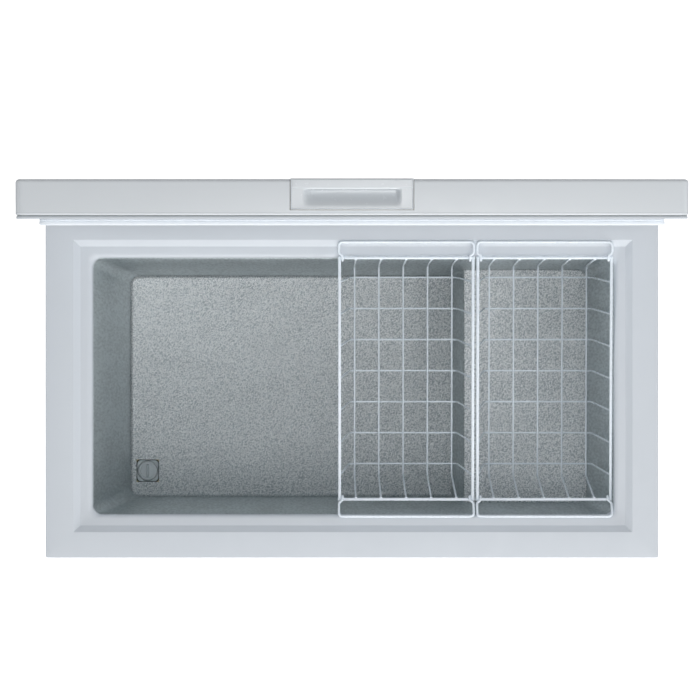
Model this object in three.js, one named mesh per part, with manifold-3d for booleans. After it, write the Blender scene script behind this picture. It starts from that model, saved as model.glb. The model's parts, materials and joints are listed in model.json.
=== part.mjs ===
// Chest freezer with its lid standing open and two hanging wire baskets.
// Millimetres, +Z up. X runs along the front, -Y is the front and +Y the hinge side.
// The origin is on the floor, under the centre of the object's box.
import * as THREE from 'three';
import { mergeVertices } from 'three/addons/utils/BufferGeometryUtils.js';
import Module from 'manifold-3d';

const wasm = await Module();
wasm.setup();

// ---- driving dimensions ----
const CABINET_WIDTH = 945;
const CABINET_DEPTH = 530;
const RIM_TOP = 790;
const BASE_HEIGHT = 30;
const GAP = 0.3;

// top frame, as distances in from the cabinet's edge
const FRAME_BOTTOM = 765;
const FRAME_FLAT = 41.5;
const BEVEL_END = 52;
const LIP_START = 62;
const OPENING_INSET = 70;
const LEDGE_DROP = 8;
const LIP_RADIUS = 8;
const OPENING_SHIFT_X = 2;
const OPENING_DEPTH_RATIO = 67 / 70;
const OUTER_CORNER = 3;
const OPENING_CORNER = 15;

// liner: a drafted tub with a raised step over the compressor
const LINER_FLOOR = 80;
const LINER_TOP_HALF_X = 402.3;
const LINER_TOP_HALF_Y = 197.4;
const FLOOR_LEFT = -382;
const FLOOR_RIGHT = 380;
const FLOOR_HALF_Y = 190.7;
const FLOOR_CORNER = 16;
const STEP_FLOOR = 340;
const STEP_FOOT_X = 172.4;
const STEP_EDGE_X = 184.5;
const SHEET = 0.8;

// compressor compartment under the step
const BAY_LEFT = 235;
const BAY_TOP = 280;

// lid, drawn closed and then opened about its hinge pin
const LID_HALF_WIDTH = 470;
const LID_FRONT = -268.5;
const LID_BACK = 268;
const LIP_PLANE = 799.5;
const LID_LIP = 4;
const LID_SEAM = 1.5;
const LID_SHELL_HEIGHT = 50;
const LID_OPEN_DEGREES = 87.3;
const HINGE_Y = 278;
const HINGE_Z = 819;
const HINGE_X = [-300, 300];

// baskets: each hangs by its back end and tilts down to the front
const BASKET_X = [83.8, 297.2];
const BASKET_FLOOR_X = [81.8, 297.2];
const BASKET_NAMES = ['left', 'right'];
const BASKET_BACK = 197.8;
const BASKET_RIM = 784.5;
const BASKET_TILT_DEGREES = 3.5;
const BASKET_HALF_WIDTH = 103;
const BASKET_LENGTH = 374;
const BASKET_DEPTH = 220;
const BASKET_FLOOR_HALF_WIDTH = 86;
const BASKET_FLOOR_LENGTH = 336;
const FRAME_WIRE = 2.4;
const MESH_WIRE = 1.5;
const WELD_OVERLAP = 0.6;
const LONG_WIRES = 5;
const LONG_PITCH = 38.9;
const CROSS_WIRES = 7;
const CROSS_PITCH = 49.8;
const WIRE_BEND = 8;
const BAIL_WIRE = 1.9;
const BAIL_HALF_WIDTH = 104;
const BAIL_EYE_X = 98.3;
const BAIL_SLACK = 0.4;

// the open lid reaches further back than the cabinet does
const KNOB_REACH = 12;
const BOX_FRONT = -CABINET_DEPTH / 2 - KNOB_REACH;
const BOX_BACK = lidPoint(LID_BACK, LIP_PLANE + LID_LIP + LID_SEAM + LID_SHELL_HEIGHT).y;
const ORIGIN_Y = (BOX_FRONT + BOX_BACK) / 2;

// Where a point of the closed lid goes when the lid stands open.
function lidPoint(y, z) {
  const turn = new THREE.Vector3(0, y - HINGE_Y, z - HINGE_Z);
  turn.applyAxisAngle(new THREE.Vector3(1, 0, 0), -THREE.MathUtils.degToRad(LID_OPEN_DEGREES));
  return turn.add(new THREE.Vector3(0, HINGE_Y, HINGE_Z));
}

// ---- shape helpers ----
function bare(geometry) {
  const copy = geometry.clone();
  copy.deleteAttribute('normal');
  copy.deleteAttribute('uv');
  return mergeVertices(copy, 1e-4);
}

function solid(geometry) {
  const merged = bare(geometry);
  return new wasm.Manifold(new wasm.Mesh({
    numProp: 3,
    vertProperties: new Float32Array(merged.attributes.position.array),
    triVerts: new Uint32Array(merged.index.array),
  }));
}

function shell(manifold) {
  const mesh = manifold.getMesh();
  const geometry = new THREE.BufferGeometry();
  geometry.setAttribute('position', new THREE.Float32BufferAttribute(mesh.vertProperties, 3));
  geometry.setIndex(new THREE.Uint32BufferAttribute(mesh.triVerts, 1));
  return geometry;
}

function join(...geometries) {
  return shell(geometries.map(solid).reduce((whole, piece) => whole.add(piece)));
}

function cut(geometry, ...tools) {
  return shell(tools.map(solid).reduce((whole, tool) => whole.subtract(tool), solid(geometry)));
}

function block(x0, x1, y0, y1, z0, z1) {
  const geometry = new THREE.BoxGeometry(x1 - x0, y1 - y0, z1 - z0);
  return geometry.translate((x0 + x1) / 2, (y0 + y1) / 2, (z0 + z1) / 2);
}

function roundedRectangle(x0, x1, y0, y1, radius) {
  const shape = new THREE.Shape();
  shape.moveTo(x0 + radius, y0);
  shape.lineTo(x1 - radius, y0);
  shape.absarc(x1 - radius, y0 + radius, radius, -Math.PI / 2, 0, false);
  shape.lineTo(x1, y1 - radius);
  shape.absarc(x1 - radius, y1 - radius, radius, 0, Math.PI / 2, false);
  shape.lineTo(x0 + radius, y1);
  shape.absarc(x0 + radius, y1 - radius, radius, Math.PI / 2, Math.PI, false);
  shape.lineTo(x0, y0 + radius);
  shape.absarc(x0 + radius, y0 + radius, radius, Math.PI, 1.5 * Math.PI, false);
  return shape;
}

function prism(shape, z0, z1, curveSegments = 4) {
  const geometry = new THREE.ExtrudeGeometry(shape, { depth: z1 - z0, bevelEnabled: false, curveSegments });
  return geometry.translate(0, 0, z0);
}

// A solid of revolution about Z from [radius, height] pairs that start and end on the axis.
function turned(profile, segments = 16) {
  const points = profile.map(([r, z]) => new THREE.Vector2(r, z));
  return new THREE.LatheGeometry(points, segments).rotateX(Math.PI / 2);
}

function disc(radius, z0, z1, segments = 16) {
  return turned([[0, z0], [radius, z0], [radius, z1], [0, z1]], segments);
}

// One loop of a rounded rectangle at height z, always with the same number of points.
function loopAt({ x0, x1, y0, y1, radius, z }, cornerSteps = 4) {
  const centres = [
    [x1 - radius, y1 - radius, 0],
    [x0 + radius, y1 - radius, 1],
    [x0 + radius, y0 + radius, 2],
    [x1 - radius, y0 + radius, 3],
  ];
  const points = [];
  for (const [x, y, quarter] of centres) {
    for (let i = 0; i <= cornerSteps; i++) {
      const angle = (quarter + i / cornerSteps) * Math.PI / 2;
      points.push(new THREE.Vector3(x + radius * Math.cos(angle), y + radius * Math.sin(angle), z));
    }
  }
  return points;
}

// Skin between loops of equal length: closed on itself, or capped at both ends.
function skin(loops, closed) {
  const count = loops[0].length;
  const positions = loops.flat().flatMap((p) => [p.x, p.y, p.z]);
  const index = [];
  const bands = closed ? loops.length : loops.length - 1;
  for (let i = 0; i < bands; i++) {
    const next = (i + 1) % loops.length;
    for (let j = 0; j < count; j++) {
      const k = (j + 1) % count;
      index.push(i * count + j, i * count + k, next * count + k);
      index.push(i * count + j, next * count + k, next * count + j);
    }
  }
  if (!closed) {
    const last = (loops.length - 1) * count;
    for (let j = 1; j < count - 1; j++) {
      index.push(0, j + 1, j);
      index.push(last, last + j, last + j + 1);
    }
  }
  const geometry = new THREE.BufferGeometry();
  geometry.setAttribute('position', new THREE.Float32BufferAttribute(positions, 3));
  geometry.setIndex(index);
  return geometry;
}

// A path through the given points, each of which becomes one step of the extrusion.
class BentPath extends THREE.Curve {
  constructor(points) {
    super();
    this.points = points;
  }

  getPointAt(u) {
    return this.points[Math.round(u * (this.points.length - 1))].clone();
  }

  getPoint(t) {
    return this.getPointAt(t);
  }

  getTangentAt(u) {
    const i = Math.round(u * (this.points.length - 1));
    const before = this.points[Math.max(i - 1, 0)];
    const here = this.points[i];
    const after = this.points[Math.min(i + 1, this.points.length - 1)];
    const arriving = here.clone().sub(before).normalize();
    const leaving = after.clone().sub(here).normalize();
    return arriving.add(leaving).normalize();
  }
}

function circle(radius, sides, hole = 0) {
  const shape = new THREE.Shape();
  const ring = (r, path) => {
    for (let i = 0; i < sides; i++) {
      const angle = (i / sides) * 2 * Math.PI;
      path[i ? 'lineTo' : 'moveTo'](r * Math.cos(angle), r * Math.sin(angle));
    }
    path.closePath();
    return path;
  };
  ring(radius, shape);
  if (hole) shape.holes.push(ring(hole, new THREE.Path()));
  return shape;
}

function tube(points, radius, sides = 6, hole = 0) {
  const extrudePath = new BentPath(points.map((p) => new THREE.Vector3(...p)));
  return new THREE.ExtrudeGeometry(circle(radius, sides, hole), { steps: points.length - 1, extrudePath });
}

// Points of an arc that rounds the corner at b between a and c.
function rounded(a, b, c, radius, steps = 3) {
  const corner = new THREE.Vector3(...b);
  const toA = new THREE.Vector3(...a).sub(corner).normalize();
  const toC = new THREE.Vector3(...c).sub(corner).normalize();
  const start = corner.clone().addScaledVector(toA, radius);
  const end = corner.clone().addScaledVector(toC, radius);
  const bend = new THREE.QuadraticBezierCurve3(start, corner, end);
  return bend.getPoints(steps).map((p) => p.toArray());
}

// A polyline with every inner corner rounded.
function bentLine(corners, radius, steps = 3) {
  const points = [corners[0]];
  for (let i = 1; i < corners.length - 1; i++) {
    points.push(...rounded(corners[i - 1], corners[i], corners[i + 1], radius, steps));
  }
  points.push(corners[corners.length - 1]);
  return points;
}

// ---- materials ----
function finish(color, roughness, metalness) {
  return () => new THREE.MeshStandardMaterial({ color, roughness, metalness });
}

const whitePaint = finish(0xc8ced4, 0.4, 0.2);
const whitePlastic = finish(0xccd3da, 0.45, 0);
const foam = finish(0xd9c58c, 0.9, 0);
const embossedAluminium = finish(0x9aa3a6, 0.35, 0.9);
const galvanised = finish(0xa9adb0, 0.4, 0.8);
const blackEnamel = finish(0x151617, 0.4, 0.3);
const blackRubber = finish(0x1c1c1d, 0.85, 0);
const greyRubber = finish(0xdfe4ea, 0.7, 0);
const copper = finish(0xb0703c, 0.3, 0.9);
const coatedWire = finish(0xd8e2ec, 0.35, 0);
const greyPlastic = finish(0x8c9296, 0.5, 0);

const freezer = new THREE.Group();
const cabinet = new THREE.Group();
const lid = new THREE.Group();
freezer.add(cabinet, lid);
freezer.position.y = -ORIGIN_Y;

function place(group, name, geometry, material) {
  const mesh = new THREE.Mesh(geometry, material());
  mesh.name = name;
  group.add(mesh);
  return mesh;
}

// ---- cabinet ----
const OUTER_X = CABINET_WIDTH / 2;
const OUTER_Y = CABINET_DEPTH / 2;
const WRAP_X = OUTER_X - 1;
const WRAP_Y = OUTER_Y - 1;
const FOAM_X = WRAP_X - 1 - GAP;
const FOAM_Y = WRAP_Y - 1 - GAP;
const SKIN_TOP = FRAME_BOTTOM - GAP;

function frameLoop(inset, z) {
  const share = inset / OPENING_INSET;
  const halfX = OUTER_X - inset;
  const halfY = OUTER_Y - inset * OPENING_DEPTH_RATIO;
  const radius = OUTER_CORNER + (OPENING_CORNER - OUTER_CORNER) * share;
  const shift = OPENING_SHIFT_X * share;
  return loopAt({ x0: shift - halfX, x1: shift + halfX, y0: -halfY, y1: halfY, radius, z });
}

function topFrame() {
  const ledge = RIM_TOP - LEDGE_DROP;
  const edge = 1.5;
  const wall = 3.5;
  const profile = [
    [0, FRAME_BOTTOM],
    [0, RIM_TOP - edge],
    [edge, RIM_TOP],
    [FRAME_FLAT, RIM_TOP],
    [BEVEL_END, ledge],
    [LIP_START, ledge],
  ];
  for (let i = 1; i <= 4; i++) {
    const angle = (i / 4) * Math.PI / 2;
    profile.push([
      LIP_START + LIP_RADIUS * Math.sin(angle),
      ledge - LIP_RADIUS + LIP_RADIUS * Math.cos(angle),
    ]);
  }
  profile.push(
    [OPENING_INSET, FRAME_BOTTOM + GAP],
    [OPENING_INSET - wall, FRAME_BOTTOM + GAP],
    [OPENING_INSET - wall, ledge - 6],
    [LIP_START + 1, ledge - wall],
    [wall + 0.5, ledge - wall],
    [wall + 0.5, FRAME_BOTTOM],
  );
  return skin(profile.map(([inset, z]) => frameLoop(inset, z)), true);
}

// How far up the tub a height lies, from 0 at the floor to 1 at the top frame.
function tubShare(z) {
  return (z - LINER_FLOOR) / (FRAME_BOTTOM - LINER_FLOOR);
}

// Loops of the tub, grown outwards by some distance, at a share of the way up from its floor.
function tubLoop(share, grow, pull, z) {
  const { lerp } = THREE.MathUtils;
  const top = LINER_TOP_HALF_X;
  return loopAt({
    x0: lerp(FLOOR_LEFT, OPENING_SHIFT_X - top, share) - grow + pull,
    x1: lerp(FLOOR_RIGHT, OPENING_SHIFT_X + top, share) + grow - pull,
    y0: -lerp(FLOOR_HALF_Y, LINER_TOP_HALF_Y, share) - grow + pull,
    y1: lerp(FLOOR_HALF_Y, LINER_TOP_HALF_Y, share) + grow - pull,
    radius: lerp(FLOOR_CORNER, OPENING_CORNER, share) + grow - pull / 2,
    z,
  });
}

function tub(grow, topZ) {
  const bottom = LINER_FLOOR - grow;
  const loops = [
    tubLoop(0, grow, 9, bottom),
    tubLoop(0, grow, 2.6, bottom + 2.6),
    tubLoop(0, grow, 0, bottom + 9),
    tubLoop(1, grow, 0, FRAME_BOTTOM),
  ];
  if (topZ > FRAME_BOTTOM) loops.push(tubLoop(1, grow, 0, topZ));
  return cut(skin(loops, false), stepBlock(grow));
}

// What the step takes out of the tub: a prism with a sloping left face.
function stepBlock(grow) {
  const far = OUTER_X;
  const low = LINER_FLOOR - 10;
  const slope = (STEP_EDGE_X - STEP_FOOT_X) / (STEP_FLOOR - LINER_FLOOR);
  const shape = new THREE.Shape();
  shape.moveTo(STEP_FOOT_X + grow - slope * 10, low);
  shape.lineTo(far, low);
  shape.lineTo(far, STEP_FLOOR - grow);
  shape.lineTo(STEP_EDGE_X + grow + 3, STEP_FLOOR - grow);
  shape.lineTo(STEP_EDGE_X + grow - 0.2, STEP_FLOOR - grow - 3);
  shape.closePath();
  return prism(shape, -OUTER_Y, OUTER_Y).rotateX(Math.PI / 2);
}

const DRAIN_X = -352;
const DRAIN_Y = -146;
const DRAIN_HALF = 19;
const DRAIN_TUBE_Z = 50;
const DRAIN_TUBE_RADIUS = 8;
const DRAIN_TUBE_HOLE = 8.4;

function drainCutter(grow) {
  const half = DRAIN_HALF + grow;
  const shape = roundedRectangle(DRAIN_X - half, DRAIN_X + half, DRAIN_Y - half, DRAIN_Y + half, 8);
  return prism(shape, LINER_FLOOR - 22, LINER_FLOOR + 5);
}

function liner() {
  return cut(tub(SHEET, SKIN_TOP), tub(0, RIM_TOP), drainCutter(GAP));
}

function drainPath() {
  return bentLine([
    [DRAIN_X, DRAIN_Y, LINER_FLOOR - 14 - GAP],
    [DRAIN_X, DRAIN_Y, DRAIN_TUBE_Z],
    [DRAIN_X, -WRAP_Y - 6, DRAIN_TUBE_Z],
  ], 10);
}

const EVAPORATOR_LOW = 400;
const EVAPORATOR_RADIUS = 4;
const CONDENSER_RADIUS = 3.2;
const CONDENSER_LOW = 380;
const CONDENSER_PITCH = 70;
const CONDENSER_BACK = 190;

function evaporatorPath() {
  const offset = SHEET + GAP + EVAPORATOR_RADIUS + 1;
  const turns = 4;
  const rise = 64;
  const perTurn = tubLoop(0, 0, 0, 0).length;
  const points = [];
  for (let i = 0; i <= turns * perTurn; i++) {
    const z = EVAPORATOR_LOW + (i / perTurn) * rise;
    points.push(tubLoop(tubShare(z), offset, 0, z)[i % perTurn].toArray());
  }
  return points;
}

function condenserPath() {
  const x = FOAM_X - CONDENSER_RADIUS - 1;
  const y = FOAM_Y - CONDENSER_RADIUS - 1;
  const back = CONDENSER_BACK;
  const corners = [];
  const runs = 5;
  for (let run = 0; run < runs; run++) {
    const z = CONDENSER_LOW + run * CONDENSER_PITCH;
    const side = run % 2 ? -1 : 1;
    corners.push([side * x, back, z], [side * x, -y, z], [-side * x, -y, z], [-side * x, back, z]);
  }
  return bentLine(corners, 6, 2);
}

// Foam between the outer wrap and the liner, with room for both tubes, the drain and the compressor.
function cabinetFoam() {
  const low = BASE_HEIGHT + 1.5;
  const body = block(-FOAM_X, FOAM_X, -FOAM_Y, FOAM_Y, low, SKIN_TOP);
  const cap = block(-OUTER_X + 6, OUTER_X - 6, -OUTER_Y + 6, OUTER_Y - 6, SKIN_TOP - 1, RIM_TOP - 12);
  const mouth = LIP_START + 0.4;
  const lip = skin([frameLoop(mouth, SKIN_TOP - 0.2), frameLoop(mouth, RIM_TOP)], false);
  const bandEnds = [EVAPORATOR_LOW - 10, EVAPORATOR_LOW + 280];
  const band = skin(bandEnds.map((z) => tubLoop(tubShare(z), SHEET + GAP + 9.6, 0, z)), false);
  const trenchLow = CONDENSER_LOW - 15;
  const trenchHigh = CONDENSER_LOW + 295;
  const [coreX, coreY] = [FOAM_X - 8.6, FOAM_Y - 8.6];
  const trench = cut(
    block(-OUTER_X, OUTER_X, -OUTER_Y, CONDENSER_BACK + 10, trenchLow, trenchHigh),
    block(-coreX, coreX, -coreY, OUTER_Y, trenchLow - 5, trenchHigh + 5),
  );
  const bay = block(BAY_LEFT - GAP, OUTER_X, -OUTER_Y, OUTER_Y, 0, BAY_TOP + 1 + GAP);
  const drain = tube(drainPath(), DRAIN_TUBE_HOLE, 8);
  return cut(join(body, cap), tub(SHEET + GAP, RIM_TOP), lip, band, trench, bay, drainCutter(1.5), drain);
}

const PANEL = { x0: 330, x1: 440, z0: 118, z1: 178 };
const VENT = { y0: -110, y1: 130, z0: 80, z1: 220 };

// Pre-painted steel bent round the front and both sides.
function outerWrap() {
  const bend = 1.9;
  const sheet = 1;
  const outer = roundedRectangle(-WRAP_X, WRAP_X, -WRAP_Y, WRAP_Y + 40, bend);
  const inside = WRAP_X - sheet;
  const inner = roundedRectangle(-inside, inside, -WRAP_Y + sheet, WRAP_Y + 30, bend - sheet);
  const low = BASE_HEIGHT;
  return cut(
    prism(outer, low, SKIN_TOP, 3),
    prism(inner, low - 5, SKIN_TOP + 5, 3),
    block(-OUTER_X, OUTER_X, WRAP_Y - 1.4, OUTER_Y + 60, 0, RIM_TOP),
    block(PANEL.x0, PANEL.x1, -OUTER_Y, -WRAP_Y + 5, PANEL.z0, PANEL.z1),
    block(WRAP_X - 5, OUTER_X, VENT.y0, VENT.y1, VENT.z0, VENT.z1),
    tube([[DRAIN_X, -OUTER_Y, DRAIN_TUBE_Z], [DRAIN_X, -WRAP_Y + 5, DRAIN_TUBE_Z]], DRAIN_TUBE_HOLE, 8),
  );
}

function backPanel() {
  const front = WRAP_Y - 1;
  return cut(
    block(-WRAP_X, WRAP_X, front, front + 1, BASE_HEIGHT, SKIN_TOP),
    block(BAY_LEFT + 10, WRAP_X - 12, front - 5, front + 5, BASE_HEIGHT - 5, BAY_TOP - 15),
  );
}

function bottomPanel() {
  const edge = FOAM_X;
  return block(-edge, BAY_LEFT - 1, -FOAM_Y, FOAM_Y, BASE_HEIGHT, BASE_HEIGHT + 1.2);
}

// Folded sheet that closes the foam off from the compressor compartment.
function bayPanel() {
  const low = BASE_HEIGHT + 6;
  return join(
    block(BAY_LEFT, BAY_LEFT + 1, -FOAM_Y, FOAM_Y, low, BAY_TOP + 1),
    block(BAY_LEFT, FOAM_X, -FOAM_Y, FOAM_Y, BAY_TOP, BAY_TOP + 1),
  );
}

function basePlate() {
  const high = BASE_HEIGHT + 2.5;
  return join(
    block(BAY_LEFT, FOAM_X, -FOAM_Y, FOAM_Y, BASE_HEIGHT, high),
    block(BAY_LEFT + 8, FOAM_X - 8, FOAM_Y - 2, FOAM_Y, BASE_HEIGHT, high + 12),
  );
}

const COMPRESSOR_X = 350;
const COMPRESSOR_Y = 70;
const PLATE_TOP = BASE_HEIGHT + 2.5;
const GROMMET_HEIGHT = 14;
const COMPRESSOR_FOOT = PLATE_TOP + GROMMET_HEIGHT + 2 * GAP;
const MOUNT_X = 55;
const MOUNT_Y = 70;

function compressor() {
  const can = turned([[0, 0], [52, 0], [72, 14], [76, 40], [76, 78], [80, 79], [80, 84],
    [76, 85], [74, 120], [60, 146], [34, 158], [0, 160]], 20);
  can.translate(COMPRESSOR_X, COMPRESSOR_Y, COMPRESSOR_FOOT + 4);
  const plate = block(COMPRESSOR_X - 68, COMPRESSOR_X + 68, COMPRESSOR_Y - 84, COMPRESSOR_Y + 84,
    COMPRESSOR_FOOT, COMPRESSOR_FOOT + 3);
  const pedestal = disc(50, -2, 20).translate(COMPRESSOR_X, COMPRESSOR_Y, COMPRESSOR_FOOT + 4);
  return join(can, plate, pedestal);
}

function grommet(x, y) {
  const profile = [[0, 0], [11, 0], [11, 5], [8, 6], [8, 9], [11, 10]];
  profile.push([11, GROMMET_HEIGHT], [0, GROMMET_HEIGHT]);
  return turned(profile, 12).translate(x, y, PLATE_TOP + GAP);
}

function startRelay() {
  const x = COMPRESSOR_X - 82;
  const half = 24;
  const low = COMPRESSOR_FOOT + 50;
  return block(x - 22, x, COMPRESSOR_Y - half, COMPRESSOR_Y + half, low, low + 54);
}

const DRYER = { x: 290, y: -90, z: 150 };

function filterDryer() {
  const profile = [[0, 0], [3, 0], [4, 8], [9, 18], [9, 78], [4, 90], [3, 98], [0, 98]];
  return turned(profile, 12).translate(DRYER.x, DRYER.y, DRYER.z);
}

function suctionLine() {
  const z = COMPRESSOR_FOOT + 110;
  return tube(bentLine([
    [COMPRESSOR_X + 30, COMPRESSOR_Y - 71, z],
    [COMPRESSOR_X + 30, COMPRESSOR_Y - 120, z],
    [COMPRESSOR_X + 30, COMPRESSOR_Y - 120, BAY_TOP - GAP],
  ], 20), 4, 8);
}

function dischargeLine() {
  const z = COMPRESSOR_FOOT + 60;
  return tube(bentLine([
    [COMPRESSOR_X - 20, COMPRESSOR_Y - 78, z],
    [COMPRESSOR_X - 20, COMPRESSOR_Y - 200, z],
    [COMPRESSOR_X - 20, COMPRESSOR_Y - 200, BAY_TOP - GAP],
  ], 20), 3.2, 8);
}

// Thin line wound in loops between the dryer and the evaporator.
function capillary() {
  const points = [];
  const turns = 3;
  const steps = 10;
  const radius = 20;
  const low = DRYER.z - 4 - turns * steps;
  for (let i = 0; i <= turns * steps; i++) {
    const angle = (i / steps) * 2 * Math.PI;
    points.push([DRYER.x - radius + radius * Math.cos(angle), DRYER.y + radius * Math.sin(angle), low + i]);
  }
  return tube(points, 1.5, 6);
}

function ventGrille() {
  const plate = block(WRAP_X - 4, OUTER_X - 0.1, VENT.y0 + GAP, VENT.y1 - GAP, VENT.z0 + GAP, VENT.z1 - GAP);
  const slots = [];
  for (let z = VENT.z0 + 14; z < VENT.z1 - 12; z += 14) {
    slots.push(block(WRAP_X - 10, OUTER_X + 5, VENT.y0 + 14, VENT.y1 - 14, z, z + 6));
  }
  return cut(plate, ...slots);
}

const INLET_X = 430;
const INLET_Z = 75;

function serviceCover() {
  const inside = WRAP_Y - 1;
  const plate = block(BAY_LEFT + 10 + GAP, WRAP_X - 12 - GAP, inside - 1, inside + 1,
    BASE_HEIGHT + 15, BAY_TOP - 15 - GAP);
  const slots = [];
  for (let x = BAY_LEFT + 40; x < WRAP_X - 50; x += 22) {
    slots.push(block(x, x + 8, inside - 5, inside + 5, BASE_HEIGHT + 110, BAY_TOP - 40));
  }
  const inlet = tube([[INLET_X, inside - 5, INLET_Z], [INLET_X, inside + 5, INLET_Z]], 9.5, 10);
  return cut(plate, ...slots, inlet);
}

// Strain-relief bush where a supply lead would enter.
function inletGland() {
  const body = turned([[0, -6], [6, -6], [9, -5], [9, 3], [13, 4], [13, 7], [7, 8], [7, 14], [0, 14]], 12);
  body.rotateX(-Math.PI / 2);
  return body.translate(INLET_X, WRAP_Y - 1, INLET_Z);
}

// ---- controls ----
const KNOB_X = 365;
const KNOB_Z = 148;

function controlPanel() {
  const face = -OUTER_Y + 0.2;
  const plate = block(PANEL.x0 + GAP, PANEL.x1 - GAP, face, -WRAP_Y + 6, PANEL.z0 + GAP, PANEL.z1 - GAP);
  const well = disc(21, -4.5, 1, 24).rotateX(Math.PI / 2).translate(KNOB_X, face, KNOB_Z);
  const lamps = LAMPS.map(([, z]) => lampAt(z, 3.2, -10, 20));
  const shaft = disc(4.3, -20, 20, 12).rotateX(Math.PI / 2).translate(KNOB_X, face, KNOB_Z);
  return cut(plate, well, ...lamps, shaft);
}

const LAMPS = [['green', 166], ['amber', 148], ['red', 130]];
const LAMP_X = 412;

function lampAt(z, radius, near, far) {
  return disc(radius, near, far, 12).rotateX(-Math.PI / 2).translate(LAMP_X, -OUTER_Y, z);
}

function lampLens(z) {
  return turned([[0, -1.2], [2, -0.8], [2.8, 0.4], [2.8, 6], [0, 6]], 12)
    .rotateX(-Math.PI / 2).translate(LAMP_X, -OUTER_Y, z);
}

// The knob turns on the thermostat's shaft and has a raised grip bar.
function thermostatKnob() {
  const front = -OUTER_Y;
  const cap = turned([[0, -8], [15, -8], [18, -6], [19, 4], [0, 4]], 24)
    .rotateX(-Math.PI / 2).translate(KNOB_X, front, KNOB_Z);
  const grip = block(KNOB_X - 3, KNOB_X + 3, front - KNOB_REACH, front - 6, KNOB_Z - 14, KNOB_Z + 14);
  const stem = disc(3.6, 2, 13, 12).rotateX(-Math.PI / 2).translate(KNOB_X, front, KNOB_Z);
  return join(cap, grip, stem);
}

function thermostatBody() {
  const back = -OUTER_Y + 14;
  return block(KNOB_X - 22, KNOB_X + 22, back, back + 30, KNOB_Z - 20, KNOB_Z + 20);
}

// ---- drain ----
function drainFitting() {
  const half = DRAIN_HALF;
  const cup = prism(roundedRectangle(DRAIN_X - half, DRAIN_X + half, DRAIN_Y - half, DRAIN_Y + half, 7),
    LINER_FLOOR - 14, LINER_FLOOR + 0.8);
  const recess = disc(17, LINER_FLOOR - 4, LINER_FLOOR + 5, 20).translate(DRAIN_X, DRAIN_Y, 0);
  const bore = disc(9.6, LINER_FLOOR - 20, LINER_FLOOR, 16).translate(DRAIN_X, DRAIN_Y, 0);
  return cut(cup, recess, bore);
}

function drainPlug() {
  const low = LINER_FLOOR - 4 + GAP;
  const body = turned([[0, low - 8], [7, low - 8], [9.2, low - 6], [9.2, low], [16.4, low],
    [16.4, low + 3.4], [15, low + 4.6], [0, low + 4.6]], 20).translate(DRAIN_X, DRAIN_Y, 0);
  const rib = block(DRAIN_X - 2, DRAIN_X + 2, DRAIN_Y - 9, DRAIN_Y + 9, low + 4, low + 9);
  return join(body, rib);
}

function drainTube() {
  return tube(drainPath(), DRAIN_TUBE_RADIUS, 8, 5.5);
}

function drainCap() {
  const cap = disc(12, 0, 11, 16);
  const hollow = disc(8.6, -1, 8, 16);
  return cut(cap, hollow).rotateX(Math.PI / 2).translate(DRAIN_X, -WRAP_Y - GAP, DRAIN_TUBE_Z);
}

const FOOT_X = 425;
const FOOT_Y = 220;

function foot(x, y) {
  const top = BASE_HEIGHT - GAP;
  const profile = [[0, 0], [20, 0], [22, 3], [20, 16], [12, 18], [12, top], [0, top]];
  return turned(profile, 16).translate(x, y, 0);
}

place(cabinet, 'outer_wrap', outerWrap(), whitePaint);
place(cabinet, 'back_panel', backPanel(), galvanised);
place(cabinet, 'bottom_panel', bottomPanel(), galvanised);
place(cabinet, 'compartment_panel', bayPanel(), galvanised);
place(cabinet, 'cabinet_foam', cabinetFoam(), foam);
place(cabinet, 'liner', liner(), embossedAluminium);
place(cabinet, 'top_frame', topFrame(), whitePlastic);
place(cabinet, 'evaporator_tube', tube(evaporatorPath(), EVAPORATOR_RADIUS, 6), galvanised);
place(cabinet, 'condenser_tube', tube(condenserPath(), CONDENSER_RADIUS, 6), copper);
place(cabinet, 'compressor_base_plate', basePlate(), galvanised);
place(cabinet, 'compressor', compressor(), blackEnamel);
for (const [name, sx, sy] of [['front_left', -1, -1], ['front_right', 1, -1], ['back_left', -1, 1],
  ['back_right', 1, 1]]) {
  const mount = [COMPRESSOR_X + sx * MOUNT_X, COMPRESSOR_Y + sy * MOUNT_Y];
  place(cabinet, `grommet_${name}`, grommet(...mount), blackRubber);
  place(cabinet, `foot_${name}`, foot(sx * FOOT_X, sy * FOOT_Y), blackRubber);
}
place(cabinet, 'start_relay', startRelay(), blackEnamel);
place(cabinet, 'filter_dryer', filterDryer(), copper);
place(cabinet, 'suction_line', suctionLine(), copper);
place(cabinet, 'discharge_line', dischargeLine(), copper);
place(cabinet, 'capillary_tube', capillary(), copper);
place(cabinet, 'vent_grille', ventGrille(), greyPlastic);
place(cabinet, 'service_cover', serviceCover(), galvanised);
place(cabinet, 'inlet_gland', inletGland(), blackRubber);
place(cabinet, 'control_panel', controlPanel(), greyPlastic);
place(cabinet, 'thermostat_knob', thermostatKnob(), whitePlastic);
place(cabinet, 'thermostat_body', thermostatBody(), blackEnamel);
const lampColours = { green: 0x2f9e4f, amber: 0xe0902a, red: 0xc8322b };
for (const [name, z] of LAMPS) {
  place(cabinet, `indicator_${name}`, lampLens(z), finish(lampColours[name], 0.2, 0));
}
place(cabinet, 'drain_fitting', drainFitting(), greyPlastic);
place(cabinet, 'drain_plug', drainPlug(), greyPlastic);
place(cabinet, 'drain_tube', drainTube(), greyPlastic);
place(cabinet, 'drain_cap', drainCap(), blackRubber);

// ---- hinges ----
const PIN = 3;
const BORE = 3.4;
const KNUCKLE = 6.6;
const EAR = 8;
const ARM_HALF = 18;
const HINGE_PLATE_LOW = 690;
const EAR_LOW = 740;
const EAR_STEP = 760;

function alongX(geometry, x) {
  return geometry.rotateY(Math.PI / 2).translate(x, HINGE_Y, HINGE_Z);
}

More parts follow.
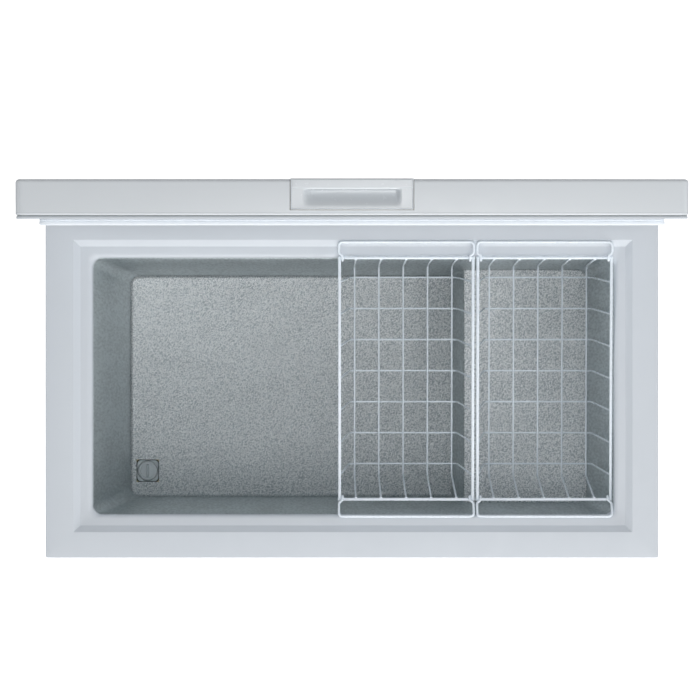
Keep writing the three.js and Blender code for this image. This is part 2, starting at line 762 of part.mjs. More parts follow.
// Cabinet half of a hinge: a plate on the back panel and two ears that carry the pin.
function hingeBody(x) {
  const back = WRAP_Y + GAP;
  const reach = ARM_HALF + GAP + EAR;
  const pieces = [block(x - reach, x + reach, back, back + 3, HINGE_PLATE_LOW, EAR_STEP + 4)];
  for (const side of [-1, 1]) {
    const inner = x + side * (ARM_HALF + GAP);
    const outer = inner + side * EAR;
    const [a, b] = [Math.min(inner, outer), Math.max(inner, outer)];
    pieces.push(block(a, b, back, HINGE_Y + KNUCKLE, EAR_LOW, EAR_STEP + 4));
    pieces.push(block(a, b, HINGE_Y - 4, HINGE_Y + KNUCKLE, EAR_STEP, HINGE_Z));
    pieces.push(alongX(disc(KNUCKLE, a - x, b - x), x));
  }
  return cut(join(...pieces), alongX(disc(BORE, -reach - 5, reach + 5), x));
}

// Lid half: a leaf on the lid's back edge with one knuckle, drawn with the lid closed.
function hingeArm(x) {
  const face = LID_BACK + GAP;
  const leaf = block(x - ARM_HALF, x + ARM_HALF, face, face + 2.6, LIP_PLANE + 8, LIP_PLANE + 50);
  const knuckle = alongX(disc(KNUCKLE, -ARM_HALF, ARM_HALF), x);
  const web = block(x - ARM_HALF, x + ARM_HALF, face, HINGE_Y, HINGE_Z - 4, HINGE_Z + 4);
  return cut(join(leaf, knuckle, web), alongX(disc(BORE, -ARM_HALF - 5, ARM_HALF + 5), x));
}

function hingePin(x) {
  const half = ARM_HALF + GAP + EAR + 1;
  return alongX(disc(PIN, -half, half), x);
}

// Counterbalance spring between the ears, under the knuckle.
function hingeSpring(x) {
  const turns = 5;
  const steps = 8;
  const points = [];
  for (let i = 0; i <= turns * steps; i++) {
    const angle = (i / steps) * 2 * Math.PI;
    const [out, back] = [9 * Math.cos(angle), 1 + 6 * Math.sin(angle)];
    points.push([x + out, HINGE_Y + back, EAR_LOW + 12 + (i / steps) * 9]);
  }
  return tube(points, 1.4, 5);
}

function hingeCover(x) {
  const half = ARM_HALF + EAR + 8;
  const wall = 3;
  const low = HINGE_PLATE_LOW - 6;
  const high = RIM_TOP + 6;
  const back = HINGE_Y + 14;
  const outside = block(x - half, x + half, WRAP_Y + 3 + 2 * GAP, back, low, high);
  const inside = block(x - half + wall, x + half - wall, WRAP_Y, back - wall, low + wall, high + 4);
  return cut(outside, inside);
}

['left', 'right'].forEach((side, i) => {
  place(cabinet, `hinge_body_${side}`, hingeBody(HINGE_X[i]), galvanised);
  place(cabinet, `hinge_pin_${side}`, hingePin(HINGE_X[i]), galvanised);
  place(cabinet, `hinge_spring_${side}`, hingeSpring(HINGE_X[i]), galvanised);
  place(cabinet, `hinge_cover_${side}`, hingeCover(HINGE_X[i]), whitePlastic);
});

// ---- lid, drawn closed ----
const SHELL_LOW = LIP_PLANE + LID_LIP + LID_SEAM;
const SHELL_HIGH = SHELL_LOW + LID_SHELL_HEIGHT;
const GASKET_INSET = 30;
const GASKET_WIDTH = 12;
const HANDLE_HALF = 86;
const HANDLE_LOW = LIP_PLANE + 13;
const POCKET_HALF = 69;
const POCKET_LOW = HANDLE_LOW + 5;
const POCKET_HIGH = SHELL_HIGH - 12;
const POCKET_DEPTH = 26;
const POCKET_WALL = 4;

function lidLoop(inset, z, radius) {
  return loopAt({
    x0: -LID_HALF_WIDTH + inset,
    x1: LID_HALF_WIDTH - inset,
    y0: LID_FRONT + inset,
    y1: LID_BACK - inset,
    radius,
    z,
  });
}

function handleSpace(grow) {
  const half = HANDLE_HALF + grow;
  const back = LID_FRONT + POCKET_DEPTH + POCKET_WALL + grow;
  return block(-half, half, LID_FRONT - 10, back, HANDLE_LOW - grow, SHELL_HIGH + 10);
}

function lidShell() {
  const outside = skin([
    lidLoop(0, SHELL_LOW, 12),
    lidLoop(0, SHELL_HIGH - 5, 12),
    lidLoop(1.5, SHELL_HIGH - 1.5, 10.5),
    lidLoop(5, SHELL_HIGH, 8),
  ], false);
  const inside = skin([
    lidLoop(1, SHELL_LOW - 5, 11),
    lidLoop(1, SHELL_HIGH - 5.5, 11),
    lidLoop(5.5, SHELL_HIGH - 1, 8),
  ], false);
  return cut(outside, inside, handleSpace(GAP));
}

// Loops of the raised field on the lid's inner face, thinned to the inside by some distance.
const FIELD_EDGE = GASKET_INSET + GASKET_WIDTH + 4;

function innerField(thin) {
  return skin([
    lidLoop(FIELD_EDGE + 26 + thin, LIP_PLANE - 7 + thin, 14),
    lidLoop(FIELD_EDGE + 20 + thin, LIP_PLANE - 6 + thin, 18),
    lidLoop(FIELD_EDGE + thin, LIP_PLANE + 1 + thin, 24),
  ], false);
}

function lidFoam() {
  const edge = 1 + GAP;
  const outside = skin([
    lidLoop(edge, SHELL_LOW + GAP, 11),
    lidLoop(edge, SHELL_HIGH - 7, 11),
    lidLoop(6.5, SHELL_HIGH - 1 - 2 * GAP, 8),
  ], false);
  const tray = PANEL_WALL + GAP;
  const fill = skin([lidLoop(1 + tray, LIP_PLANE + tray, 9), lidLoop(1 + tray, SHELL_LOW + 2, 9)], false);
  return cut(join(outside, fill, innerField(tray)), handleSpace(2 * GAP));
}

// Formed inner face of the lid: a flange, a flat gasket seat and a shallow raised field.
const PANEL_WALL = 1.8;

function lidInnerPanel() {
  const flange = skin([lidLoop(1, LIP_PLANE, 11), lidLoop(1, SHELL_LOW, 11)], false);
  const hollow = skin([
    lidLoop(1 + PANEL_WALL, LIP_PLANE + PANEL_WALL, 9),
    lidLoop(1 + PANEL_WALL, SHELL_LOW + 5, 9),
  ], false);
  return cut(join(flange, innerField(0)), hollow, innerField(PANEL_WALL), handleSpace(GAP));
}

function lidGasket() {
  const inner = GASKET_INSET + GASKET_WIDTH;
  const top = LIP_PLANE - GAP;
  const bottom = LIP_PLANE - 9.1;
  const middle = (top + bottom) / 2;
  const profile = [
    [GASKET_INSET, top], [inner, top], [inner, middle], [inner - 3, bottom + 1],
    [inner - 6, bottom], [GASKET_INSET + 3, bottom + 1], [GASKET_INSET, middle],
  ];
  return skin(profile.map(([inset, z]) => lidLoop(inset, z, 16 - (inset - GASKET_INSET) / 2)), true);
}

// Recessed grip let into the lid's front edge.
function lidHandle() {
  const front = LID_FRONT - 2;
  const back = LID_FRONT + POCKET_DEPTH + POCKET_WALL;
  const body = block(-HANDLE_HALF, HANDLE_HALF, front, back, HANDLE_LOW, SHELL_HIGH + 1);
  const pocketShape = new THREE.Shape();
  pocketShape.moveTo(front - 5, POCKET_LOW);
  pocketShape.lineTo(front + 10, POCKET_LOW);
  pocketShape.lineTo(front + POCKET_DEPTH, POCKET_LOW + 10);
  pocketShape.lineTo(front + POCKET_DEPTH, POCKET_HIGH);
  pocketShape.lineTo(front - 5, POCKET_HIGH);
  pocketShape.closePath();
  const pocket = prism(pocketShape, -POCKET_HALF, POCKET_HALF);
  pocket.rotateX(Math.PI / 2);
  pocket.rotateZ(Math.PI / 2);
  return cut(body, pocket);
}

lid.position.set(0, HINGE_Y, HINGE_Z);
lid.rotation.x = -THREE.MathUtils.degToRad(LID_OPEN_DEGREES);
function placeOnLid(name, geometry, material) {
  place(lid, name, geometry.translate(0, -HINGE_Y, -HINGE_Z), material);
}
placeOnLid('lid_shell', lidShell(), whitePaint);
placeOnLid('lid_foam', lidFoam(), foam);
placeOnLid('lid_inner_panel', lidInnerPanel(), whitePlastic);
placeOnLid('lid_gasket', lidGasket(), greyRubber);
placeOnLid('lid_handle', lidHandle(), whitePlastic);
placeOnLid('hinge_arm_left', hingeArm(HINGE_X[0]), galvanised);
placeOnLid('hinge_arm_right', hingeArm(HINGE_X[1]), galvanised);

// ---- baskets ----
function bar(from, to, radius, sides = 8) {
  return tube([from, to], radius, sides);
}

// A point of a hanging basket: u runs from its back end to its front, w is the height from its rim.
function basketPoint(x, u, w) {
  const tilt = THREE.MathUtils.degToRad(BASKET_TILT_DEGREES);
  const y = BASKET_BACK - u * Math.cos(tilt) - w * Math.sin(tilt);
  const z = BASKET_RIM - u * Math.sin(tilt) + w * Math.cos(tilt);
  return [x, y, z];
}

function meshWire(corners) {
  const hung = corners.map(([x, u, w]) => basketPoint(x, u, w));
  return tube(bentLine(hung, WIRE_BEND, 2), MESH_WIRE, 6);
}

// A frame of thick wire, with thin wires bent in U shapes and welded inside it.
function basket(centre, floorCentre) {
  const left = centre - BASKET_HALF_WIDTH;
  const right = centre + BASKET_HALF_WIDTH;
  const ends = [0, BASKET_LENGTH];
  const pieces = ends.map((u) => bar(basketPoint(left - 1, u, 0), basketPoint(right + 1, u, 0), FRAME_WIRE));
  for (const x of [left, right]) {
    pieces.push(bar(basketPoint(x, 0, 0), basketPoint(x, BASKET_LENGTH, 0), FRAME_WIRE));
  }
  const low = -BASKET_DEPTH;
  const upper = low + 2 * MESH_WIRE - WELD_OVERLAP;
  const margin = (BASKET_LENGTH - BASKET_FLOOR_LENGTH) / 2;
  const weld = 2;
  for (let i = 0; i < LONG_WIRES; i++) {
    const step = (i - (LONG_WIRES - 1) / 2) * LONG_PITCH;
    pieces.push(meshWire([
      [centre + step, weld, 0],
      [floorCentre + step, margin, upper],
      [floorCentre + step, BASKET_LENGTH - margin, upper],
      [centre + step, BASKET_LENGTH - weld, 0],
    ]));
  }
  for (let i = 0; i < CROSS_WIRES; i++) {
    const u = BASKET_LENGTH / 2 + (i - (CROSS_WIRES - 1) / 2) * CROSS_PITCH;
    pieces.push(meshWire([
      [left, u, 0],
      [floorCentre - BASKET_FLOOR_HALF_WIDTH, u, low],
      [floorCentre + BASKET_FLOOR_HALF_WIDTH, u, low],
      [right, u, 0],
    ]));
  }
  return join(...pieces);
}

// Where each bail's crossbar rests on the rim, out from its pivot and up from it.
const BAIL_REST = {
  back: { side: 1, pivot: basketPoint(0, 0, 0), reach: 24.2, lift: 5.7 },
  front: { side: -1, pivot: basketPoint(0, BASKET_LENGTH, 0), reach: 25.7, lift: 24.2 },
};

// A bail hooked over an end wire of a basket and folded out over the rim.
function bail(centre, { side, pivot, reach, lift }) {
  const hook = FRAME_WIRE + BAIL_SLACK + BAIL_WIRE;
  const bend = 7;
  const lean = Math.atan2(lift - hook, reach);
  const half = [];
  for (const degrees of [170, 130, 90]) {
    const angle = lean + THREE.MathUtils.degToRad(degrees);
    half.push([BAIL_EYE_X, hook * Math.cos(angle), hook * Math.sin(angle)]);
  }
  const [, y, z] = half[half.length - 1];
  const { lerp } = THREE.MathUtils;
  const along = (x, share) => [x, lerp(y, reach, share), lerp(z, lift, share)];
  half.push(along(BAIL_EYE_X + 1, 0.15));
  half.push(along(BAIL_HALF_WIDTH, 0.32));
  const length = Math.hypot(reach - y, lift - z);
  half.push(along(BAIL_HALF_WIDTH, 1 - bend / length));
  half.push(along(BAIL_HALF_WIDTH - 0.3 * bend, 1 - 0.3 * bend / length));
  half.push(along(BAIL_HALF_WIDTH - bend, 1));
  const whole = [...half, ...half.map(([x, out, up]) => [-x, out, up]).reverse()];
  const placed = whole.map(([x, out, up]) => [centre + x, pivot[1] + side * out, pivot[2] + up]);
  return tube(placed, BAIL_WIRE, 6);
}

BASKET_NAMES.forEach((name, i) => {
  place(freezer, `basket_${name}`, basket(BASKET_X[i], BASKET_FLOOR_X[i]), coatedWire);
  place(freezer, `basket_${name}_handle_back`, bail(BASKET_X[i], BAIL_REST.back), coatedWire);
  place(freezer, `basket_${name}_handle_front`, bail(BASKET_X[i], BAIL_REST.front), coatedWire);
});

export default freezer;
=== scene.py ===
import json
import math

import bmesh
import bpy
from mathutils import Matrix, Vector


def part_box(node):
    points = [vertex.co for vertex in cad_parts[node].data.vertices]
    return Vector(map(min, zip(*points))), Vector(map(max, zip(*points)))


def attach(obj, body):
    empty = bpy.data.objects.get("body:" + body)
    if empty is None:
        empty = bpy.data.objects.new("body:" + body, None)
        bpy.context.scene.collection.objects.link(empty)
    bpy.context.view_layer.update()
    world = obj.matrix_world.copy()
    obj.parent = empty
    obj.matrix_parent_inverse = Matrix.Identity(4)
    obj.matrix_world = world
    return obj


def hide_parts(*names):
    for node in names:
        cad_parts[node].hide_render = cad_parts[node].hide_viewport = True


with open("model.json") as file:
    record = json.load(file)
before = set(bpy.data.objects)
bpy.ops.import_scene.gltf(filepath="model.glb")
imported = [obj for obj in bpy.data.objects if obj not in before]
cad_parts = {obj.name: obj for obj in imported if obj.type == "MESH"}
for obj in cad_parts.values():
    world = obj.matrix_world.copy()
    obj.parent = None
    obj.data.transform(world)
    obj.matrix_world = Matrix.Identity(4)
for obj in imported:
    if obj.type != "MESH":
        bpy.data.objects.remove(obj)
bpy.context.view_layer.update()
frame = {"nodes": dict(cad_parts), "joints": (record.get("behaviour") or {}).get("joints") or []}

# Lengths are millimetres in the cabinet's own coordinates: X to the right, Y back from its
# middle, Z up from the floor. Points become metres in the row frame when a piece is made.
MM = 0.001
RIM_LOW, RIM_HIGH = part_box("top_frame")
MIDDLE_Y = (RIM_LOW.y + RIM_HIGH.y) / 2
OUTER_X = RIM_HIGH.x / MM
OUTER_Y = (RIM_HIGH.y - MIDDLE_Y) / MM
RIM_TOP = RIM_HIGH.z / MM
FRAME_BOTTOM = RIM_LOW.z / MM
JOINTS = {joint["name"]: joint for joint in frame["joints"]}


def local_box(node):
    """The corners of a CAD node in the cabinet's own millimetres."""
    low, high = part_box(node)
    return [Vector((p.x, p.y - MIDDLE_Y, p.z)) / MM for p in (low, high)]


def middle_of(node):
    """The middle of a CAD node's box in the cabinet's own millimetres."""
    low, high = local_box(node)
    return (low + high) / 2


def local_point(point):
    """A point of the record, in metres, in the cabinet's own millimetres."""
    return Vector((point[0], point[1] - MIDDLE_Y, point[2])) / MM


HINGE = local_point(JOINTS["lid_hinge"]["pos_m"])
OPENING = Matrix.Rotation(math.radians(JOINTS["lid_hinge"]["range_deg"][0]), 3, "X")


# ---- shapes ----
def lerp(a, b, share):
    """The value a share of the way from a to b."""
    return a + (b - a) * share


def smooth(value, low, high):
    """0 below low, 1 above high, and a soft step between them."""
    share = min(max((value - low) / (high - low), 0.0), 1.0)
    return share * share * (3 - 2 * share)


class Build:
    """The points and faces of one piece."""

    def __init__(self):
        self.points = []
        self.faces = []

    def add(self, points, faces):
        start = len(self.points)
        self.points.extend(Vector(p) for p in points)
        self.faces.extend([start + i for i in face] for face in faces)

    def grid(self, rows, closed_rows=False, closed_columns=False, skip=()):
        """Quads between rows of points that all have the same length."""
        count = len(rows[0])
        faces = []
        for i in range(len(rows) - (0 if closed_rows else 1)):
            for j in range(count - (0 if closed_columns else 1)):
                if (i, j) in skip:
                    continue
                k, n = (i + 1) % len(rows), (j + 1) % count
                faces.append([i * count + j, i * count + n, k * count + n, k * count + j])
        self.add([p for row in rows for p in row], faces)

    def cap_band(self, index, count):
        """Swaps the band after one loop for two flat faces, one on each of its loops."""
        first = index * count
        self.faces = [f for f in self.faces if not first <= f[0] < first + count]
        self.faces.append([first + i for i in range(count)])
        self.faces.append([first + count + i for i in reversed(range(count))])

    def loft(self, loops, ring=False):
        """A skin over closed loops: capped at both ends, or a ring that meets itself."""
        start = len(self.points)
        self.grid(loops, closed_rows=ring, closed_columns=True)
        if not ring:
            count = len(loops[0])
            self.faces.append([start + i for i in reversed(range(count))])
            last = start + (len(loops) - 1) * count
            self.faces.append([last + i for i in range(count)])

    def box(self, low, high):
        """A block between two opposite corners."""
        (x0, y0, z0), (x1, y1, z1) = low, high
        corners = [(x0, y0), (x1, y0), (x1, y1), (x0, y1)]
        self.loft([[(x, y, z) for x, y in corners] for z in (z0, z1)])

    def wire(self, path, radius, sides=10):
        """A round wire with domed ends."""
        path = [Vector(p) for p in path]
        normal = (path[1] - path[0]).orthogonal().normalized()
        loops = []
        for i, point in enumerate(path):
            tangent = (path[min(i + 1, len(path) - 1)] - path[max(i - 1, 0)]).normalized()
            normal = (normal - tangent * normal.dot(tangent)).normalized()
            side = tangent.cross(normal)
            first, last = i == 0, i == len(path) - 1
            rings = [(0.0, 1.0)]
            if first:
                rings = [(-0.8, 0.45), (-0.5, 0.84), (0.0, 1.0)]
            if last:
                rings = [(0.0, 1.0), (0.5, 0.84), (0.8, 0.45)]
            for along, width in rings:
                centre = point + tangent * radius * along
                loops.append([
                    centre + (normal * math.cos(a) + side * math.sin(a)) * radius * width
                    for a in (2 * math.pi * k / sides for k in range(sides))
                ])
        self.loft(loops)

    def turned(self, profile, origin, direction=(0, 0, 1), sides=32):
        """A solid of revolution from [radius, height] pairs, turned to point along direction."""
        turn = Vector((0, 0, 1)).rotation_difference(Vector(direction)).to_matrix()
        loops = []
        for radius, height in profile:
            angles = (2 * math.pi * k / sides for k in range(sides))
            loops.append([
                Vector(origin) + turn @ Vector((radius * math.cos(a), radius * math.sin(a), height))
                for a in angles
            ])
        self.loft(loops)

    def nugget(self, centre, radii, sides=8):
        """A small ellipsoid, such as the bead of a spot weld."""
        loops = []
        for k in range(1, 5):
            polar = math.pi * k / 5
            loops.append([
                Vector(centre) + Vector((
                    radii[0] * math.sin(polar) * math.cos(a),
                    radii[1] * math.sin(polar) * math.sin(a),
                    radii[2] * math.cos(polar),
                ))
                for a in (2 * math.pi * n / sides for n in range(sides))
            ])
        self.loft(loops)


def rounded_loop(x0, x1, y0, y1, radius, z, steps=8):
    """A rounded rectangle at one height, anticlockwise from above."""
    centres = (
        (x1 - radius, y1 - radius), (x0 + radius, y1 - radius),
        (x0 + radius, y0 + radius), (x1 - radius, y0 + radius),
    )
    loop = []
    for quarter, (x, y) in enumerate(centres):
        for i in range(steps + 1):
            angle = (quarter + i / steps) * math.pi / 2
            loop.append((x + radius * math.cos(angle), y + radius * math.sin(angle), z))
    return loop


def fluted_ring(middle, y, radius, flutes, depth=0.0):
    """A ring about an axis along Y, with four points to each flute."""
    points = []
    for k in range(4 * flutes):
        angle = math.pi / 2 * k / flutes
        r = radius - depth * (0.5 + 0.5 * math.cos(flutes * angle))
        points.append(Vector((middle.x + r * math.cos(angle), y, middle.z + r * math.sin(angle))))
    return points


def rounded_path(corners, radii, steps=5):
    """A path through corners, each inner one turned into an arc."""
    corners = [Vector(c) for c in corners]
    if not isinstance(radii, (list, tuple)):
        radii = [radii] * (len(corners) - 2)
    path = [corners[0]]
    for before, corner, after, radius in zip(corners, corners[1:], corners[2:], radii):
        into, out = (before - corner).normalized(), (after - corner).normalized()
        half = into.angle(out) / 2
        shorter = min((before - corner).length, (after - corner).length)
        reach = min(radius / math.tan(half), shorter / 2)
        centre = corner + (into + out).normalized() * reach / math.cos(half)
        start, end = corner + into * reach - centre, corner + out * reach - centre
        sweep = start.angle(end)
        for i in range(steps + 1):
            share = i / steps
            arm = start * math.sin((1 - share) * sweep) + end * math.sin(share * sweep)
            path.append(centre + arm / math.sin(sweep))
    path.append(corners[-1])
    return path


def rounded_profile(corners, radii, steps):
    """The same through pairs of a distance in from an edge and a height."""
    return rounded_path([(x, 0, z) for x, z in corners], radii, steps)


def spaced(count, pitch):
    """Evenly spaced places about zero."""
    return [(i - (count - 1) / 2) * pitch for i in range(count)]


# ---- pieces ----
def to_row(point, body):
    """From the cabinet's millimetres to metres in the row frame; lid pieces are drawn closed."""
    if body == "lid":
        point = HINGE + OPENING @ (point - HINGE)
    return point.x * MM, point.y * MM + MIDDLE_Y, point.z * MM


def shade(mesh, angle):
    """Smooth shading, with edges over some angle left sharp."""
    mesh.polygons.foreach_set("use_smooth", [True] * len(mesh.polygons))
    mesh.set_sharp_from_angle(angle=math.radians(angle))


def rounded_edges(obj, width, segments=3, angle=30):
    bevel = obj.modifiers.new("rounded edges", "BEVEL")
    bevel.width = width * MM
    bevel.segments = segments
    bevel.limit_method = "ANGLE"
    bevel.angle_limit = math.radians(angle)
    bevel.use_clamp_overlap = True


def flat_faces(obj):
    """Keeps large faces flat where soft edges meet them."""
    weighted = obj.modifiers.new("flat faces", "WEIGHTED_NORMAL")
    weighted.keep_sharp = True


def bevelled(obj, width, segments=3, angle=30):
    rounded_edges(obj, width, segments, angle)
    flat_faces(obj)


def put(name, data):
    """Puts a new object into the scene."""
    obj = bpy.data.objects.new(name, data)
    bpy.context.scene.collection.objects.link(obj)
    return obj


def reshape(mesh, change):
    """Applies a change to a mesh's points and faces."""
    work = bmesh.new()
    work.from_mesh(mesh)
    change(work)
    work.to_mesh(mesh)
    work.free()


def face_out(work):
    """Turns every face of a closed shape outwards."""
    bmesh.ops.recalc_face_normals(work, faces=work.faces)


def piece(name, build, look, body, stands_for=(), bevel=0.0, closed=True, angle=40):
    """Makes a piece, ties it to its body and hides the CAD nodes it replaces."""
    def weld(work):
        bmesh.ops.remove_doubles(work, verts=work.verts, dist=1e-6)
        if closed:
            face_out(work)

    mesh = bpy.data.meshes.new(name)
    mesh.from_pydata([to_row(p, body) for p in build.points], [], build.faces)
    reshape(mesh, weld)
    obj = put(name, mesh)
    mesh.materials.append(look)
    shade(mesh, angle)
    if bevel:
        bevelled(obj, bevel)
    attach(obj, body)
    if stands_for:
        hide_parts(*stands_for)
    return obj


def open_faces(obj, chosen):
    """Removes the faces whose centres are chosen."""
    def remove(work):
        faces = [f for f in work.faces if chosen(f.calc_center_median())]
        bmesh.ops.delete(work, geom=faces, context="FACES")

    reshape(obj.data, remove)


def carve(obj, build, body="cabinet", operation="DIFFERENCE"):
    """Applies a piece's modifiers, then cuts a closed shape out of its mesh or adds it."""
    mesh = bpy.data.meshes.new("cutter")
    mesh.from_pydata([to_row(p, body) for p in build.points], [], build.faces)
    reshape(mesh, face_out)
    cutter = put("cutter", mesh)
    boolean = obj.modifiers.new("cut", "BOOLEAN")
    boolean.object = cutter
    boolean.operation = operation
    boolean.solver = "EXACT"
    bpy.context.view_layer.update()
    depsgraph = bpy.context.evaluated_depsgraph_get()
    carved = bpy.data.meshes.new_from_object(obj.evaluated_get(depsgraph))
    obj.modifiers.clear()
    bpy.data.objects.remove(cutter)
    carved.name = obj.data.name
    obj.data = carved
    shade(carved, 40)


# ---- materials ----
# most of a noise's values lie between these two
NOISE_LOW = 0.3
NOISE_HIGH = 0.7


class Look:
    """A procedural material, whose patterns follow the piece's own coordinates in metres."""

    def __init__(self, name, roughness=0.5, metallic=0.0):
        self.material = bpy.data.materials.new(name)
        self.material.use_nodes = True
        self.nodes = self.material.node_tree.nodes
        self.links = self.material.node_tree.links
        self.shader = self.nodes["Principled BSDF"]
        self.shader.inputs["Roughness"].default_value = roughness
        self.shader.inputs["Metallic"].default_value = metallic
        self.source = self.nodes.new("ShaderNodeTexCoord").outputs["Object"]

    def mapped(self, scale=(1, 1, 1), turn=(0, 0, 0)):
        """Coordinates turned, then stretched along their new axes."""
        node = self.nodes.new("ShaderNodeMapping")
        node.vector_type = "TEXTURE"
        node.inputs["Scale"].default_value = scale
        node.inputs["Rotation"].default_value = turn
        self.links.new(self.source, node.inputs["Vector"])
        return node.outputs["Vector"]

    def noise(self, scale, detail=2.0, vector=None):
        node = self.nodes.new("ShaderNodeTexNoise")
        node.inputs["Scale"].default_value = scale
        node.inputs["Detail"].default_value = detail
        self.links.new(vector or self.source, node.inputs["Vector"])
        return node.outputs["Fac"]

    def cells(self, scale, vector=None, kind="SMOOTH_F1"):
        node = self.nodes.new("ShaderNodeTexVoronoi")
        node.feature = kind
        node.inputs["Scale"].default_value = scale
        self.links.new(vector or self.source, node.inputs["Vector"])
        return node.outputs["Distance"]

    def spread(self, value, low, high):
        """Stretches a noise's middle range to one from low to high."""
        node = self.nodes.new("ShaderNodeMapRange")
        node.inputs["From Min"].default_value = NOISE_LOW
        node.inputs["From Max"].default_value = NOISE_HIGH
        node.inputs["To Min"].default_value = low
        node.inputs["To Max"].default_value = high
        self.links.new(value, node.inputs["Value"])
        return node.outputs["Result"]

    def sum(self, first, second, share):
        """The first value with a share of the second added."""
        node = self.nodes.new("ShaderNodeMath")
        node.operation = "MULTIPLY_ADD"
        self.links.new(second, node.inputs[0])
        node.inputs[1].default_value = share
        self.links.new(first, node.inputs[2])
        return node.outputs["Value"]

    def tint(self, value, first, second, start=NOISE_LOW, end=NOISE_HIGH):
        """Takes the colour from the first to the second as the value goes from start to end."""
        node = self.nodes.new("ShaderNodeValToRGB")
        node.color_ramp.elements[0].position = start
        node.color_ramp.elements[1].position = end
        node.color_ramp.elements[0].color = (*first, 1)
        node.color_ramp.elements[1].color = (*second, 1)
        self.links.new(value, node.inputs["Fac"])
        self.links.new(node.outputs["Color"], self.shader.inputs["Base Color"])

    def rough(self, value, low, high):
        """Takes the roughness from low to high as the value goes through its middle range."""
        self.links.new(self.spread(value, low, high), self.shader.inputs["Roughness"])

    def bump(self, value, depth, strength=1.0):
        """Depth is in millimetres."""
        node = self.nodes.new("ShaderNodeBump")
        node.inputs["Distance"].default_value = depth * MM
        node.inputs["Strength"].default_value = strength
        self.links.new(value, node.inputs["Height"])
        self.links.new(node.outputs["Normal"], self.shader.inputs["Normal"])


def scaled(colour, factor):
    """A colour made darker or lighter."""
    return tuple(c * factor for c in colour)


def painted_steel():
    """Satin enamel on sheet steel, with a faint orange peel."""
    look = Look("white_enamel", 0.35)
    white = (0.74, 0.775, 0.805)
    look.tint(look.noise(5, 3), scaled(white, 0.985), white)
    look.rough(look.noise(30, 4), 0.3, 0.4)
    look.bump(look.noise(420, 1), 0.02, 0.35)
    return look.material


def moulded_plastic():
    """White moulding with a fine spark-eroded grain."""
    look = Look("white_moulding", 0.42)
    white = (0.645, 0.683, 0.727)
    look.tint(look.noise(4, 3), scaled(white, 0.98), white)
    look.rough(look.noise(60, 3), 0.38, 0.5)
    look.bump(look.noise(1400, 2), 0.02, 0.3)
    return look.material


def embossed_floor():
    """Stucco-embossed sheet seen face on: dense short slanting crests, painted near white as a
    painted highlight, and hollows painted dark as painted shade.
    """
    look = Look("embossed_floor", 0.5, 0.7)
    hollows = look.cells(600, look.mapped((1.6, 0.75, 1.0), (0, 0, math.radians(42))), "F1")
    height = look.sum(hollows, look.noise(600, 1), -0.4)
    # painted light: the crests' near-white is a painted highlight, the hollows' dark grey is
    # painted shade
    look.tint(height, (0.99, 1.0, 1.0), (0.42, 0.46, 0.485), 0.04, 0.58)
    look.rough(look.noise(25, 3), 0.49, 0.53)
    look.bump(height, -0.8, 0.6)
    return look.material


def embossed_wall():
    """The same sheet seen along its face, coloured darker than the floor as painted shade: the
    ridges run together into fine upright streaks whose lighter tops are a painted highlight.
    """
    look = Look("embossed_wall", 0.4, 0.85)
    streaks = look.noise(230, 2, look.mapped((0.9, 0.9, 8)))
    broad = look.noise(22, 2, look.mapped((1, 1, 9)))
    height = look.sum(streaks, broad, 0.6)
    # painted light: a darker copy of the floor's aluminium as painted shade, with the streaks' tops
    # painted lighter as a painted highlight
    look.tint(height, (0.50, 0.56, 0.575), (0.72, 0.785, 0.805), 0.62, 0.95)
    look.rough(broad, 0.36, 0.44)
    look.bump(streaks, 0.35, 0.5)
    return look.material


def coated_wire():
    """Polyethylene coating on wire, slightly lumpy."""
    look = Look("wire_coating", 0.3)
    look.tint(look.noise(90, 2), (0.84, 0.90, 0.96), (0.88, 0.94, 0.99))
    look.rough(look.noise(200, 2), 0.24, 0.36)
    look.bump(look.noise(600, 2), 0.05, 0.4)
    return look.material


def galvanised():
    """Zinc-coated steel with its spangle."""
    look = Look("zinc_coating", 0.4, 0.9)
    spangle = look.cells(150, None, "F1")
    look.tint(spangle, (0.54, 0.56, 0.58), (0.62, 0.64, 0.66), 0.1, 0.6)
    look.rough(look.noise(60, 3), 0.34, 0.5)
    look.bump(look.noise(500, 2), 0.01, 0.3)
    return look.material


def rubber(name, dark, light):
    """Dull, slightly uneven rubber or soft vinyl."""
    look = Look(name, 0.75)
    look.tint(look.noise(120, 3), dark, light)
    look.rough(look.noise(300, 2), 0.65, 0.85)
    look.bump(look.noise(1100, 2), 0.03, 0.4)
    return look.material


def gloss_plastic(name, dark, light, low=0.3, high=0.45):
    """Smooth moulding, enamel, lens or print, whose roughness runs from low to high."""
    look = Look(name, 0.4)
    look.tint(look.noise(40, 3), dark, light)
    look.rough(look.noise(150, 3), low, high)
    look.bump(look.noise(1500, 2), 0.015, 0.25)
    return look.material


def metal(name, dark, light, low, high):
    """Bare drawn metal, whose roughness runs from low to high."""
    look = Look(name, 0.3, 1.0)
    look.tint(look.noise(70, 4), dark, light)
    look.rough(look.noise(160, 3), low, high)
    look.bump(look.noise(900, 2), 0.01, 0.3)
    return look.material


def foam():
    """Cut polyurethane foam, with its cells."""
    look = Look("rigid_foam", 0.9)
    cells = look.cells(900)
    look.tint(cells, (0.62, 0.50, 0.28), (0.84, 0.74, 0.48), 0.1, 0.7)
    look.bump(cells, 0.3, 0.6)
    return look.material


